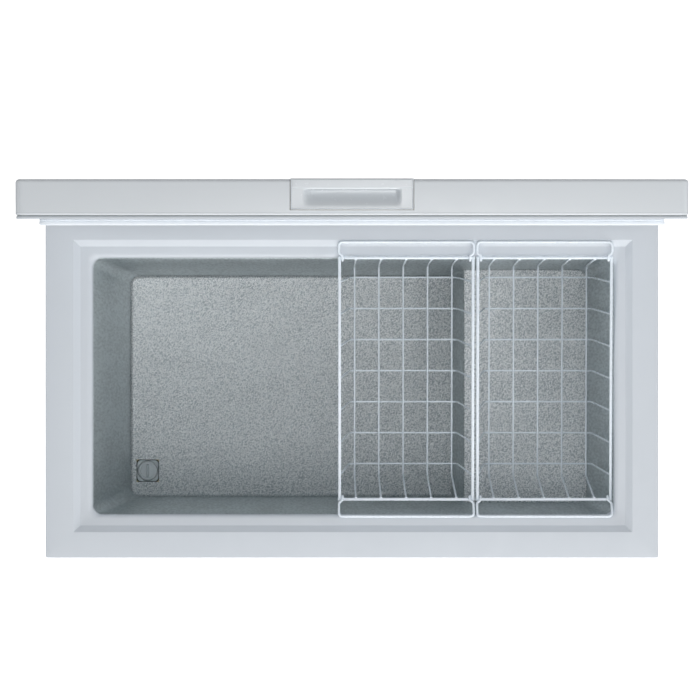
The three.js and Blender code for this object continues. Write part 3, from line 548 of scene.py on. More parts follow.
WHITE_PAINT = painted_steel()
WHITE_PLASTIC = moulded_plastic()
# one aluminium sheet as a lighter copy for faces that look up and a darker copy for the walls:
# painted light and painted shade
FLOOR_ALUMINIUM_PAINTED_LIGHT = embossed_floor()
WALL_ALUMINIUM_PAINTED_SHADE = embossed_wall()
WIRE = coated_wire()
ZINC = galvanised()
GASKET_RUBBER = rubber("gasket_vinyl", (0.86, 0.90, 0.95), (0.89, 0.93, 0.97))
BLACK_RUBBER = rubber("black_rubber", (0.018, 0.018, 0.02), (0.035, 0.035, 0.037))
BLACK_ENAMEL = gloss_plastic(
    "black_enamel", (0.012, 0.012, 0.014), (0.025, 0.025, 0.028), 0.25, 0.4
)
BLACK_PLASTIC = gloss_plastic(
    "black_moulding", (0.02, 0.02, 0.022), (0.035, 0.035, 0.038), 0.45, 0.6
)
GREY_PLASTIC = gloss_plastic("grey_moulding", (0.36, 0.40, 0.43), (0.42, 0.46, 0.49), 0.35, 0.5)
DRAIN_PLASTIC = gloss_plastic("drain_moulding", (0.72, 0.77, 0.79), (0.78, 0.83, 0.85), 0.3, 0.42)
GRIP_PLASTIC = gloss_plastic("grip_moulding", (0.67, 0.705, 0.735), (0.69, 0.725, 0.755), 0.2, 0.28)
COPPER = metal("drawn_copper", (0.55, 0.26, 0.14), (0.78, 0.42, 0.25), 0.22, 0.4)
FOAM = foam()
PRINT = gloss_plastic("dial_print", (0.05, 0.07, 0.09), (0.08, 0.10, 0.12))
LENSES = {
    "green": gloss_plastic("green_lens", (0.02, 0.30, 0.06), (0.05, 0.48, 0.12), 0.08, 0.15),
    "amber": gloss_plastic("amber_lens", (0.60, 0.26, 0.02), (0.80, 0.40, 0.05), 0.08, 0.15),
    "red": gloss_plastic("red_lens", (0.45, 0.02, 0.02), (0.65, 0.05, 0.04), 0.08, 0.15),
}

# ---- camera, light and floor ----
CAMERA_HEIGHT = 6.79


def make_camera():
    """Looks straight down from above the rim, shifted to take in the open lid."""
    data = bpy.data.cameras.new("camera")
    data.sensor_width = 36
    data.lens = 200.2
    data.shift_x = -0.00286
    data.shift_y = 0.0514
    data.clip_end = 50
    camera = put("camera", data)
    camera.location = (0, MIDDLE_Y, CAMERA_HEIGHT)
    bpy.context.scene.camera = camera


def area_light(name, place, size, power):
    """A round lamp that points at the opening; metres and watts."""
    data = bpy.data.lights.new(name, "AREA")
    data.shape = "DISK"
    data.size = size
    data.energy = power
    light = put(name, data)
    light.location = place
    target = Vector((0, MIDDLE_Y, RIM_TOP * MM)) - light.location
    light.rotation_euler = target.to_track_quat("-Z", "Y").to_euler()


def make_studio():
    """Pale surroundings, a key light, one into the tub, and three fills."""
    world = bpy.data.worlds.new("studio")
    world.use_nodes = True
    background = world.node_tree.nodes["Background"]
    background.inputs["Color"].default_value = (0.97, 0.985, 1.0, 1)
    background.inputs["Strength"].default_value = 0.34
    bpy.context.scene.world = world
    area_light("key", (2.0, -2.1, 5.2), 2.2, 60)
    area_light("top", (0.3, -0.6, 6.4), 1.2, 54)
    area_light("front_fill", (0.4, -4.0, 1.8), 1.6, 72)
    area_light("right_fill", (3.6, -0.4, 1.6), 1.4, 22)
    area_light("left_fill", (-3.6, -0.4, 1.6), 1.4, 22)
    bpy.context.scene.view_settings.view_transform = "Standard"


def make_floor():
    """A wide pale floor."""
    mesh = bpy.data.meshes.new("floor")
    half = 70
    corners = [(-half, -half, 0), (half, -half, 0), (half, half, 0), (-half, half, 0)]
    mesh.from_pydata(corners, [], [[0, 1, 2, 3]])
    floor = put("floor", mesh)
    look = Look("pale_floor", 0.9)
    look.tint(look.noise(0.6, 2), (0.90, 0.90, 0.90), (0.93, 0.93, 0.93))
    look.shader.inputs["Specular IOR Level"].default_value = 0.1
    look.shader.inputs["Emission Color"].default_value = (1, 1, 1, 1)
    look.shader.inputs["Emission Strength"].default_value = 0.85
    mesh.materials.append(look.material)
    # the glowing floor whitens the backdrop but doesn't light the cabinet's sides
    floor.visible_diffuse = False
    floor.visible_glossy = False


# ---- top frame and tub ----
FRAME_FLAT = 41.5
BEVEL_END = 52
LIP_START = 62
OPENING_INSET = 70
LEDGE = RIM_TOP - 8
LIP_RADIUS = 8
OPENING_SHIFT_X = 2
OPENING_DEPTH_RATIO = 67 / 70
OPENING_CORNER = 15


def frame_loop(inset, z):
    """The frame's outline at a distance in from its edge; the bevel's corners are mitred."""
    share = inset / OPENING_INSET
    half_x = OUTER_X - inset
    half_y = OUTER_Y - inset * OPENING_DEPTH_RATIO
    shift = OPENING_SHIFT_X * share
    outer = lerp(3, 1, min(inset / FRAME_FLAT, 1))
    radius = lerp(outer, OPENING_CORNER, smooth(inset, BEVEL_END + 1, OPENING_INSET))
    return rounded_loop(shift - half_x, shift + half_x, -half_y, half_y, radius, z, 10)


def rim_frame():
    """Moulded frame: outer flat, bevel, ledge and rounded lip, hollow below."""
    wall = 3.5
    outline = [
        (0.4, FRAME_BOTTOM), (0, FRAME_BOTTOM + 1), (0, RIM_TOP), (FRAME_FLAT, RIM_TOP),
        (BEVEL_END, LEDGE), (LIP_START + LIP_RADIUS, LEDGE), (OPENING_INSET, FRAME_BOTTOM + 0.4),
        (OPENING_INSET - 1.2, FRAME_BOTTOM + 0.4), (OPENING_INSET - wall, LEDGE - 8),
        (LIP_START, LEDGE - wall), (wall + 1, LEDGE - wall), (wall, FRAME_BOTTOM),
    ]
    radii = [0.3, 1.6, 0.9, 0.9, LIP_RADIUS, 0.5, 0.5, 3, 3, 1]
    profile = rounded_profile(outline, radii, 6)
    build = Build()
    build.loft([frame_loop(p.x, p.z) for p in profile], ring=True)
    piece("rim_frame", build, WHITE_PLASTIC, "cabinet", ["top_frame"], angle=50)


LINER_LOW, LINER_HIGH = local_box("liner")
SHEET = 0.8
FLOOR_Z = LINER_LOW.z + SHEET
LINER_TOP = LINER_HIGH.z
FLOOR_LEFT = -382
FLOOR_RIGHT = 380
FLOOR_HALF_Y = 190.7
TOP_HALF_Y = 197.4
STEP_FLOOR = 340
STEP_FOOT_X = 172.4
STEP_EDGE_X = 184.5
WALL_CORNER = 15
FLOOR_CORNER = 18
FLOOR_FILLET = 7
DRAIN = middle_of("drain_fitting")
DRAIN_HALF = 19


def tub_loop(z, pull=0.0):
    """The tub's outline at a height, drawn in by some distance near its floor."""
    share = (z - FLOOR_Z) / (LINER_TOP - FLOOR_Z)
    half_y = lerp(FLOOR_HALF_Y, TOP_HALF_Y, share) - pull
    left = lerp(FLOOR_LEFT, LINER_LOW.x + SHEET, share) + pull
    right = lerp(FLOOR_RIGHT, LINER_HIGH.x - SHEET, share) - pull
    corner = lerp(FLOOR_CORNER, WALL_CORNER, share) - pull / 2
    return rounded_loop(left, right, -half_y, half_y, corner, z, 10)


def liner_tub():
    """A pressed tub with a step over the compressor and a hole for the drain."""
    loops = []
    for k in range(7):
        angle = math.pi / 2 * k / 6
        rise = FLOOR_FILLET * (1 - math.cos(angle))
        loops.append(tub_loop(FLOOR_Z + rise, FLOOR_FILLET * (1 - math.sin(angle))))
    loops.extend(tub_loop(lerp(FLOOR_Z, LINER_TOP, k / 8)) for k in range(1, 9))
    loops.append(tub_loop(LINER_TOP + 10))
    build = Build()
    build.loft(loops)
    tub = piece("liner_tub", build, WALL_ALUMINIUM_PAINTED_SHADE, "cabinet", ["liner"])
    step = Build()
    slope = (STEP_EDGE_X - STEP_FOOT_X) / (STEP_FLOOR - FLOOR_Z)
    below = 20
    outline = [
        (STEP_FOOT_X - below * slope, FLOOR_Z - below), (STEP_EDGE_X, STEP_FLOOR),
        (OUTER_X, STEP_FLOOR), (OUTER_X, FLOOR_Z - below),
    ]
    step.loft([[(x, y, z) for x, z in outline] for y in (-OUTER_Y, OUTER_Y)])
    carve(tub, step)
    rounded_edges(tub, 4, 4, 50)
    hole = DRAIN_HALF + 0.4
    sump = Build()
    low = (DRAIN.x - hole, DRAIN.y - hole, FLOOR_Z - 3)
    high = (DRAIN.x + hole, DRAIN.y + hole, FLOOR_Z + 1)
    sump.box(low, high)
    carve(tub, sump, operation="UNION")
    lowest, highest = (FLOOR_Z - 2.9) * MM, LINER_TOP * MM + 1e-5
    open_faces(tub, lambda centre: not lowest <= centre.z <= highest)
    tub.data.materials.append(FLOOR_ALUMINIUM_PAINTED_LIGHT)
    # upward faces get the lighter copy and the upright walls the darker one: painted shade on the
    # walls
    level_enough = 0.3
    for face in tub.data.polygons:
        if abs(face.normal.z) > level_enough:
            face.material_index = 1
    sheet = tub.modifiers.new("sheet", "SOLIDIFY")
    sheet.thickness = SHEET * MM
    sheet.offset = 1
    flat_faces(tub)


# ---- drain ----
def drain_pieces():
    """Square flange in the sump, the black seal round it, and the plug with its rib."""
    x, y = DRAIN.x, DRAIN.y
    flange = Build()
    half = DRAIN_HALF - 0.7
    flange.loft([
        rounded_loop(x - h, x + h, y - h, y + h, r, FLOOR_Z + z, 6)
        for h, r, z in ((half - 2, 6, -14), (half, 7, -13), (half, 7, 0.5), (half - 0.8, 6.2, 1.2))
    ])
    fitting = piece(
        "drain_flange", flange, DRAIN_PLASTIC, "cabinet", ["drain_fitting"]
    )
    well = Build()
    profile = [[0, -30], [9.6, -30], [9.6, -4.2], [16.9, -4], [17.3, 0], [17.8, 5], [0, 5]]
    well.turned(profile, (x, y, FLOOR_Z), sides=40)
    carve(fitting, well)
    bevelled(fitting, 0.4, 2)
    seal = Build()
    inner, outer = half + 0.1, DRAIN_HALF + 0.3
    seal.loft([
        rounded_loop(x - h, x + h, y - h, y + h, 7, FLOOR_Z + z, 6)
        for h, z in ((inner, -2.4), (outer, -2.4), (outer, -1.2), (inner, -1.2))
    ], ring=True)
    piece("drain_seal", seal, BLACK_RUBBER, "cabinet")
    plug = Build()
    plug.turned([
        [0, -12], [6.6, -12], [8.8, -10], [9.2, -4], [16, -3.6], [16.4, -3], [16.4, -0.4],
        [15.9, 0.4], [14.6, 0.8], [12.6, 0.6], [11.8, -0.4], [0, -0.6],
    ], (x, y, FLOOR_Z), sides=40)
    plug.loft([
        rounded_loop(x - w, x + w, y - d, y + d, w * 0.9, FLOOR_Z + z, 4)
        for w, d, z in ((2.3, 11.6, -1.5), (2.1, 11.2, 2.8), (1.7, 10.6, 4.2), (1.0, 9.6, 4.8))
    ])
    piece("drain_stopper", plug, DRAIN_PLASTIC, "drain_plug", ["drain_plug"])


# ---- baskets ----
BASKET_TILT = math.radians(3.5)
BASKET_HALF_WIDTH = 103
BASKET_LENGTH = 374
BASKET_DEPTH = 220
BASKET_FLOOR_HALF_WIDTH = 86
BASKET_FLOOR_LENGTH = 336
BASKET_FLOOR_SHIFT = {"left": -2, "right": 0}
FRAME_WIRE = 2.4
MESH_WIRE = 1.5
LONG_WIRES = 5
LONG_PITCH = 38.9
CROSS_WIRES = 7
CROSS_PITCH = 49.8
WIRE_BEND = 9
BAIL_WIRE = 1.9
BAIL_HALF_WIDTH = 104
BAIL_EYE_X = 98.3
BAIL_BEND = 6
BAIL_HOOK_DEGREES = range(155, 85, -10)
BAIL_SPREAD = (0.14, 0.3)
BAIL_REST = {"back": (1, 24.2, 5.7), "front": (-1, 25.7, 24.2)}


def basket(side):
    """Wires of one basket: u runs from its back end to its front, w is the height from its rim."""
    back = local_point(JOINTS[f"basket_{side}_handle_back_fold"]["pos_m"])
    floor_x = back.x + BASKET_FLOOR_SHIFT[side]
    along = Vector((0, -math.cos(BASKET_TILT), -math.sin(BASKET_TILT)))
    up = Vector((0, -math.sin(BASKET_TILT), math.cos(BASKET_TILT)))

    def hung(x, u, w):
        return Vector((x, back.y, back.z)) + along * u + up * w

    left, right = back.x - BASKET_HALF_WIDTH, back.x + BASKET_HALF_WIDTH
    build = Build()
    for u in (0, BASKET_LENGTH):
        build.wire([hung(left - 1, u, 0), hung(right + 1, u, 0)], FRAME_WIRE, 14)
    for x in (left, right):
        build.wire([hung(x, 1, 0), hung(x, BASKET_LENGTH - 1, 0)], FRAME_WIRE, 14)
    low = -BASKET_DEPTH
    upper = low + 2 * MESH_WIRE - 0.6
    margin = (BASKET_LENGTH - BASKET_FLOOR_LENGTH) / 2
    steps = spaced(LONG_WIRES, LONG_PITCH)
    stations = [BASKET_LENGTH / 2 + place for place in spaced(CROSS_WIRES, CROSS_PITCH)]
    for step in steps:
        corners = [
            hung(back.x + step, 2, 0), hung(floor_x + step, margin, upper),
            hung(floor_x + step, BASKET_LENGTH - margin, upper),
            hung(back.x + step, BASKET_LENGTH - 2, 0),
        ]
        build.wire(rounded_path(corners, WIRE_BEND, 6), MESH_WIRE)
        for u in (2.6, BASKET_LENGTH - 2.6):
            build.nugget(hung(back.x + step, u, -1), (2.4, 1.6, 2.2))
    for u in stations:
        corners = [
            hung(left, u, 0), hung(floor_x - BASKET_FLOOR_HALF_WIDTH, u, low),
            hung(floor_x + BASKET_FLOOR_HALF_WIDTH, u, low), hung(right, u, 0),
        ]
        build.wire(rounded_path(corners, WIRE_BEND, 6), MESH_WIRE)
        for x in (left + 0.6, right - 0.6):
            build.nugget(hung(x, u, -1), (1.6, 2.4, 2.2))
        for step in steps:
            build.nugget(hung(floor_x + step, u, low + MESH_WIRE - 0.3), (1.9, 1.9, 1.5))
    name = f"basket_{side}"
    piece(f"wire_basket_{side}", build, WIRE, name, [name], angle=60)


def bail(side, end):
    """A bail hooked over an end wire of a basket and folded out over the rim."""
    node = f"basket_{side}_handle_{end}"
    pivot = local_point(JOINTS[f"{node}_fold"]["pos_m"])
    outward, reach, lift = BAIL_REST[end]
    hook = FRAME_WIRE + 0.4 + BAIL_WIRE
    lean = math.atan2(lift - hook, reach)
    half = []
    for degrees in BAIL_HOOK_DEGREES:
        angle = lean + math.radians(degrees)
        half.append((BAIL_EYE_X, hook * math.cos(angle), hook * math.sin(angle)))
    start, end_point = Vector(half[-1]), Vector((BAIL_EYE_X, reach, lift))

    def leg(x, share):
        point = start.lerp(end_point, share)
        return x, point.y, point.z

    corners = [
        half[-1], leg(BAIL_EYE_X, BAIL_SPREAD[0]), leg(BAIL_HALF_WIDTH, BAIL_SPREAD[1]),
        leg(BAIL_HALF_WIDTH, 1), leg(0, 1),
    ]
    half = half[:-1] + [tuple(p) for p in rounded_path(corners, BAIL_BEND, 6)]
    whole = half[:-1] + [(-x, y, z) for x, y, z in reversed(half)]
    build = Build()
    path = [(pivot.x + x, pivot.y + outward * y, pivot.z + z) for x, y, z in whole]
    build.wire(path, BAIL_WIRE, 12)
    piece(f"bail_{side}_{end}", build, WIRE, node, [node], angle=60)


# ---- lid, drawn closed ----
LID_HALF_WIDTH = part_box("lid_shell")[1].x / MM
LID_FRONT = -268.5
LID_BACK = 268
LIP_PLANE = 799.5
SHELL_LOW = LIP_PLANE + 5.5
SHELL_HIGH = SHELL_LOW + 50
SEAM_DEPTH = 2.9
SEAM_LOW = LIP_PLANE + 3.7
GASKET_INSET = 30
GASKET_WIDTH = 12
HANDLE_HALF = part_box("lid_handle")[1].x / MM
HANDLE_LOW = LIP_PLANE + 13
HANDLE_DEPTH = 30
POCKET_HALF = 69
POCKET_DEPTH = 11
POCKET_LOW = HANDLE_LOW + 4.5
POCKET_HIGH = SHELL_HIGH - 13.5
GRIP_STEP = 1.2


def lid_loop(inset, z, radius):
    """The closed lid's outline at a distance in from its edge."""
    x = LID_HALF_WIDTH - inset
    return rounded_loop(-x, x, LID_FRONT + inset, LID_BACK - inset, radius, z)


def lid_skin():
    """Folded and hemmed sheet with soft edges, cut out for the grip."""
    outline = [
        (6, SHELL_LOW + 1.1), (6, SHELL_LOW), (1.2, SHELL_LOW), (-0.3, SHELL_LOW + 2.3),
        (0, SHELL_LOW + 3.3), (0, SHELL_HIGH), (30, SHELL_HIGH),
    ]
    profile = rounded_profile(outline, [0.4, 0.2, 0.5, 0.5, 5], 6)
    inside = rounded_profile([
        (30, SHELL_HIGH - 1), (1, SHELL_HIGH - 1), (1, SHELL_LOW + 2.8), (2.0, SHELL_LOW + 1.1),
        (5.9, SHELL_LOW + 1.1),
    ], [4, 0.5, 0.3], 5)
    corner = 12
    loops = [lid_loop(p.x, p.z, max(corner - p.x * 0.6, 4)) for p in profile + inside]
    build = Build()
    build.grid(loops, closed_rows=True, closed_columns=True)
    # the last band closes the hem; the one between the two skins becomes their flat tops
    build.cap_band(len(profile) - 1, len(loops[0]))
    skin = piece("lid_skin", build, WHITE_PAINT, "lid", ["lid_shell"], closed=False)
    space = Build()
    gap = 0.7
    half = HANDLE_HALF + gap
    low = (-half, LID_FRONT - 10, HANDLE_LOW - gap)
    high = (half, LID_FRONT + HANDLE_DEPTH, SHELL_HIGH + 10)
    space.box(low, high)
    carve(skin, space, "lid")


def lid_liner():
    """Formed inner face: a flange, the gasket's seat and a raised field with a groove round it."""
    seat = GASKET_INSET - 1.5
    field = GASKET_INSET + GASKET_WIDTH + 4
    slope = 22
    raised = LIP_PLANE - 7
    sheet = 1.6
    turned_in = SEAM_DEPTH + 1.4
    outline = [
        (SEAM_DEPTH, SHELL_LOW - 0.3), (SEAM_DEPTH, SEAM_LOW), (1, SEAM_LOW), (1, LIP_PLANE),
        (seat, LIP_PLANE), (seat + 1, LIP_PLANE + 0.8), (field - 3, LIP_PLANE + 0.8),
        (field - 2, LIP_PLANE), (field, LIP_PLANE), (field + slope, raised),
        (field + 60, raised), (field + 64, raised + 2), (field + 74, raised + 2),
        (field + 78, raised), (field + 96, raised),
    ]
    profile = rounded_profile(outline, [0.3, 0.5, 1.0, 0.4, 0.4, 0.4, 0.4, 5, 9, 3, 3, 3, 3], 4)

    def loop(x, z):
        return lid_loop(x, z, 10 + min(x, field + slope) * 0.25)

    loops = [loop(p.x, p.z) for p in profile]
    back = [loop(p.x, p.z + sheet) for p in reversed(profile) if p.x > seat - 3]
    back.append(loop(turned_in, LIP_PLANE + sheet))
    back.append(loop(turned_in, SHELL_LOW - 0.3))
    build = Build()
    build.grid(loops + back, closed_rows=True, closed_columns=True)
    build.cap_band(len(loops) - 1, len(loops[0]))
    node = "lid_inner_panel"
    liner = piece("lid_liner", build, WHITE_PLASTIC, "lid", [node], closed=False)
    reshape(liner.data, face_out)


def seam_bead():
    """Grey strip in the groove between the lid's shell and its inner face, standing in for the
    groove's shade: painted shade.
    """
    deep, shallow = SEAM_DEPTH - 0.2, SEAM_DEPTH - 1.1
    low, high = SEAM_LOW + 0.1, SHELL_LOW - 0.2
    outline = [(deep, low), (shallow, low), (shallow, high), (deep, high)]
    profile = rounded_profile(outline, [0.4, 0.4], 4)
    build = Build()
    build.loft([lid_loop(p.x, p.z, 10) for p in profile], ring=True)
    # painted shade: this grey strip darkens the seam groove where there is only shade
    piece("lid_seam_painted_shade", build, GREY_PLASTIC, "lid")


def lid_seal():
    """Magnetic gasket: a foot, a bellows and a rounded magnet pouch."""
    top = LIP_PLANE - 0.3
    section = [
        (1, 0), (0, 1.8), (2.2, 2.6), (0.4, 3.4), (0, 6.4), (1.4, 8.8),
        (10, 8.8), (12, 5.4), (10.4, 3.4), (9, 2.6), (11.6, 1.8), (11, 0),
    ]
    outline = [(GASKET_INSET + across, top - down) for across, down in section]
    profile = rounded_profile(outline, [0.5, 0.4, 0.8, 1.5, 2.4, 2.4, 1.5, 0.6, 0.4, 0.5], 4)
    build = Build()
    build.loft([lid_loop(p.x, p.z, 16 - (p.x - GASKET_INSET) / 2) for p in profile], ring=True)
    piece("lid_seal", build, GASKET_RUBBER, "lid", ["lid_gasket"])


def grip_depth(x, z):
    """How far back the grip's face lies at a point of the closed lid's front edge."""
    left_end = smooth(POCKET_HALF + x, 0, 12)
    right_end = smooth(POCKET_HALF - x, 0, 7)
    below_top = smooth(POCKET_HIGH - z, 0, 2.2)
    ramp = smooth(z - POCKET_LOW, 0, 19)
    pocket = POCKET_DEPTH * left_end * right_end * below_top * ramp
    step = GRIP_STEP * (1 - smooth(z - POCKET_HIGH, 0.4, 2.2))
    return pocket + step


def lid_grip():
    """Moulded grip let into the lid's front edge, with a hollow for the fingers."""
    front = LID_FRONT - 2
    high = SHELL_HIGH + 1
    edge = 2.2
    inner_half = HANDLE_HALF - 8
    columns, levels = 150, 46
    xs = [-HANDLE_HALF + edge]
    xs += [lerp(-inner_half, inner_half, k / columns) for k in range(columns + 1)]
    xs.append(HANDLE_HALF - edge)
    zs = [lerp(HANDLE_LOW + edge, high - edge, k / levels) for k in range(levels + 1)]
    rows = [[Vector((x, front + grip_depth(x, z), z)) for x in xs] for z in zs]
    build = Build()
    build.grid(rows)
    right = [row[-1] for row in rows[1:]]
    left = [row[0] for row in rows[-2:0:-1]]
    border = rows[0] + right + rows[-1][-2::-1] + left

    def shifted(out, y):
        """The face's border, moved outwards and back to depth y."""
        loop = []
        for p in border:
            x = p.x + out * ((p.x > HANDLE_HALF - 3) - (p.x < 3 - HANDLE_HALF))
            z = p.z + out * ((p.z > high - edge - 0.1) - (p.z < HANDLE_LOW + edge + 0.1))
            loop.append(Vector((x, y, z)))
        return loop

    loops = [border]
    for k in range(1, 6):
        angle = math.pi / 2 * k / 5
        loops.append(shifted(edge * math.sin(angle), front + edge * (1 - math.cos(angle))))
    loops.append(shifted(edge, front + HANDLE_DEPTH))
    start = len(build.points)
    build.grid(loops, closed_columns=True)
    last = start + (len(loops) - 1) * len(border)
    build.faces.append([last + i for i in range(len(border))])
    piece("lid_grip", build, GRIP_PLASTIC, "lid", ["lid_handle"], angle=50)


# ---- cabinet's outside ----
CORNERS = ("front_left", "front_right", "back_left", "back_right")


def back_sheet():
    """Back panel with two long pressed ribs and the opening of the compressor compartment."""
    node = "back_panel"
    low, high = local_box(node)
    cover_low, cover_high = local_box("service_cover")
    door_left, door_right, door_top = cover_low.x - 0.3, cover_high.x + 0.3, cover_high.z + 0.3
    rib_depth = 0.9
    columns, levels = 60, 90
    xs = [lerp(low.x, high.x, k / columns) for k in range(columns + 1)]
    zs = [lerp(low.z, high.z, k / levels) for k in range(levels + 1)]
    xs = sorted(xs + [door_left, door_right])
    zs = sorted(zs + [door_top])
    doorway = {
        (i, j) for i, z in enumerate(zs) for j, x in enumerate(xs)
        if z < door_top - 0.01 and door_left - 0.01 < x < door_right - 0.01
    }

    def point(x, z):
        ends = smooth(high.x - 60 - abs(x), 0, 12)
        across = max(smooth(16 - abs(z - middle), 0, 10) for middle in (400, 580))
        return Vector((x, high.y - rib_depth * across * ends, z))

    build = Build()
    build.grid([[point(x, z) for x in xs] for z in zs], skip=doorway)
    sheet = piece("back_sheet", build, ZINC, "cabinet", [node], closed=False)
    solid = sheet.modifiers.new("sheet", "SOLIDIFY")
    solid.thickness = (high.y - low.y) * MM * 0.9
    solid.offset = -1


def screw(build, place, direction):
    """Hexagon head on a flange."""
    flange = [[0, 0], [4.6, 0], [4.6, 0.5], [4.2, 0.9], [2.9, 1.0], [0, 1.0]]
    head = [[0, 0.8], [3.0, 0.8], [3.0, 2.6], [2.6, 3.0], [0, 3.0]]
    build.turned(flange, place, direction, 24)
    build.turned(head, place, direction, 6)


def fasteners():
    """Screws of the service cover and of the vent grille."""
    cover_low, cover_high = local_box("service_cover")
    vent_low, vent_high = local_box("vent_grille")
    back = Build()
    for x in (cover_low.x + 7, (cover_low.x + cover_high.x) / 2, cover_high.x - 7):
        for z in (cover_low.z + 7, cover_high.z - 7):
            screw(back, (x, cover_high.y, z), (0, 1, 0))
    piece("cover_screws", back, ZINC, "cabinet", bevel=0.15)
    side = Build()
    for y in (vent_low.y + 7, vent_high.y - 7):
        for z in (vent_low.z + 7, vent_high.z - 7):
            screw(side, (vent_high.x - 3.2, y, z), (1, 0, 0))
    piece("grille_screws", side, ZINC, "cabinet", bevel=0.15)


def vent_louvres():
    """Frame with slanting blades."""
    node = "vent_grille"
    low, high = local_box(node)
    build = Build()

    def loop(inset, x, radius):
        flat = rounded_loop(
            low.y + inset, high.y - inset, low.z + inset, high.z - inset, radius, 0, 5
        )
        return [Vector((x, y, z)) for y, z, _ in flat]

    build.loft([
        loop(0.5, low.x, 3), loop(0, low.x + 0.6, 3.4), loop(0, high.x - 1.2, 3.4),
        loop(0.4, high.x - 0.3, 3), loop(1.4, high.x, 2.4), loop(12, high.x, 2),
        loop(13, high.x - 0.8, 2), loop(13, low.x, 2),
    ], ring=True)
    pitch = 14
    blade = 1.3
    z = low.z + 15
    while z < high.z - 22:
        inner, outer = z + 9, z + 4
        outline = [
            (low.x, inner), (low.x, inner + blade), (high.x - 1, outer + blade),
            (high.x - 0.4, outer + blade / 2), (high.x - 1, outer),
        ]
        ends = (low.y + 12, high.y - 12)
        build.loft([[Vector((x, y, height)) for x, height in outline] for y in ends])
        z += pitch
    piece("vent_louvres", build, GREY_PLASTIC, "cabinet", [node], bevel=0.25)


def levelling_feet():
    """Rubber feet with a flared sole and ribs round their sides."""
    ribs = 20
    for corner in CORNERS:
        middle = middle_of(f"foot_{corner}")
        profile = [
            [0, 0], [18.5, 0], [19.6, 0.5], [21.6, 2.6], [22, 3.6], [21.6, 4.6], [20.4, 10],
            [20, 15], [18.6, 16.8], [13, 18], [12, 19], [12, 29.6], [0, 29.6],
        ]
        build = Build()
        build.turned(profile, (middle.x, middle.y, 0), sides=40)
        for k in range(ribs):
            angle = 2 * math.pi * k / ribs
            rib = [
                (middle.x + r * math.cos(angle), middle.y + r * math.sin(angle), z)
                for r, z in ((20.6, 6), (20.1, 14))
            ]
            build.wire(rib, 1.1, 8)
        name = f"foot_{corner}"
        piece(f"levelling_{name}", build, BLACK_RUBBER, "cabinet", [name], angle=30)


def dial_knob():
    """Thermostat knob with a fluted skirt, a finger bar and a printed pointer."""
    middle = middle_of("thermostat_knob")
    x, z = middle.x, middle.z
    face = -OUTER_Y
    knob = Build()

    def ring(radius, y, depth=0.0):
        return fluted_ring(middle, y, radius, 24, depth)

    def grip(w, h, y):
        flat = rounded_loop(x - w, x + w, z - h, z + h, w * 0.9, 0, 5)
        return [Vector((px, y, pz)) for px, pz, _ in flat]

    knob.loft([
        ring(3.6, face + 12.8), ring(3.6, face + 4), ring(18.4, face + 4), ring(19, face + 3.4),
        ring(19, face - 0.5), ring(18.6, face - 1), ring(16.8, face - 1.4),
        ring(16.6, face - 1.8, 0.8), ring(15.8, face - 7, 0.8), ring(14.8, face - 8),
        ring(12, face - 8.4),
    ])
    knob.loft([
        grip(3.6, 14, face - 7), grip(3.2, 14, face - 10.4), grip(2.6, 13.4, face - 11.6),
        grip(1.6, 12.4, face - 12),
    ])
    body = "thermostat_knob"
    piece("dial_knob", knob, WHITE_PLASTIC, body, [body], angle=35)
    pointer = Build()
    pointer.box((x - 0.6, face - 12.0, z + 3), (x + 0.6, face - 11.6, z + 11.6))
    piece("dial_pointer", pointer, PRINT, body)


def add_digit(build, number, place):
    """Adds a printed digit that faces the front."""
    font = bpy.data.curves.new("digit", "FONT")
    font.body = str(number)
    font.size = 5.2
    font.extrude = 0.08
    font.align_x = "CENTER"
    font.align_y = "CENTER"
    carrier = put("digit", font)
    bpy.context.view_layer.update()
    depsgraph = bpy.context.evaluated_depsgraph_get()
    digit = bpy.data.meshes.new_from_object(carrier.evaluated_get(depsgraph))
    points = [place + Vector((v.co.x, -v.co.z, v.co.y)) for v in digit.vertices]
    build.add(points, [list(f.vertices) for f in digit.polygons])
    bpy.data.objects.remove(carrier)


def dial_scale():
    """Printed marks and digits round the knob."""
    centre = middle_of("thermostat_knob")
    centre.y = local_box("control_panel")[0].y
    scale = Build()
    for number in range(6):
        angle = math.radians(225 - number * 54)
        turn = Vector((math.cos(angle), 0, math.sin(angle)))
        side = turn.cross(Vector((0, 1, 0)))
        mark = ((21.8, -0.4), (24, -0.4), (24, 0.4), (21.8, 0.4))
        ends = [centre + turn * r + side * s for r, s in mark]
        scale.loft([[p + Vector((0, y, 0)) for p in ends] for y in (0.05, -0.12)])
        add_digit(scale, number, centre + turn * 27.4)
    piece("dial_scale", scale, PRINT, "cabinet")


def lamps():
    """Domed indicator lenses."""
    dome = [[0, 0], [2.8, 0], [2.8, 5.6], [2.6, 6.3], [2.1, 6.8], [1.2, 7.1], [0, 7.2]]
    for colour, lens in LENSES.items():
        node = f"indicator_{colour}"
        middle = middle_of(node)
        build = Build()
        build.turned(dome, (middle.x, local_box(node)[1].y, middle.z), (0, -1, 0))
        piece(f"lamp_{colour}", build, lens, "cabinet", [node], angle=50)


def hinge_covers():
    """Moulded covers over the lower half of each hinge, open at the cabinet's side."""
    for side in ("left", "right"):
        node = f"hinge_cover_{side}"
        low, high = local_box(node)

        def loop(inset, z):
            left, right, back = low.x + inset, high.x - inset, high.y - inset
            outer = rounded_loop(left, right, low.y - 20, back, 7, z, 6)
            return [Vector((x, max(y, low.y), z)) for x, y, z in outer]

        build = Build()
        build.loft([
            loop(0, high.z), loop(0, low.z + 14), loop(1, low.z + 8), loop(4, low.z + 3),
            loop(9, low.z), loop(11, low.z + 3), loop(5, low.z + 9), loop(2.4, low.z + 16),
            loop(2.4, high.z),
        ], ring=True)
        name = f"moulded_{node}"
        piece(name, build, WHITE_PLASTIC, "cabinet", [node], bevel=0.5)


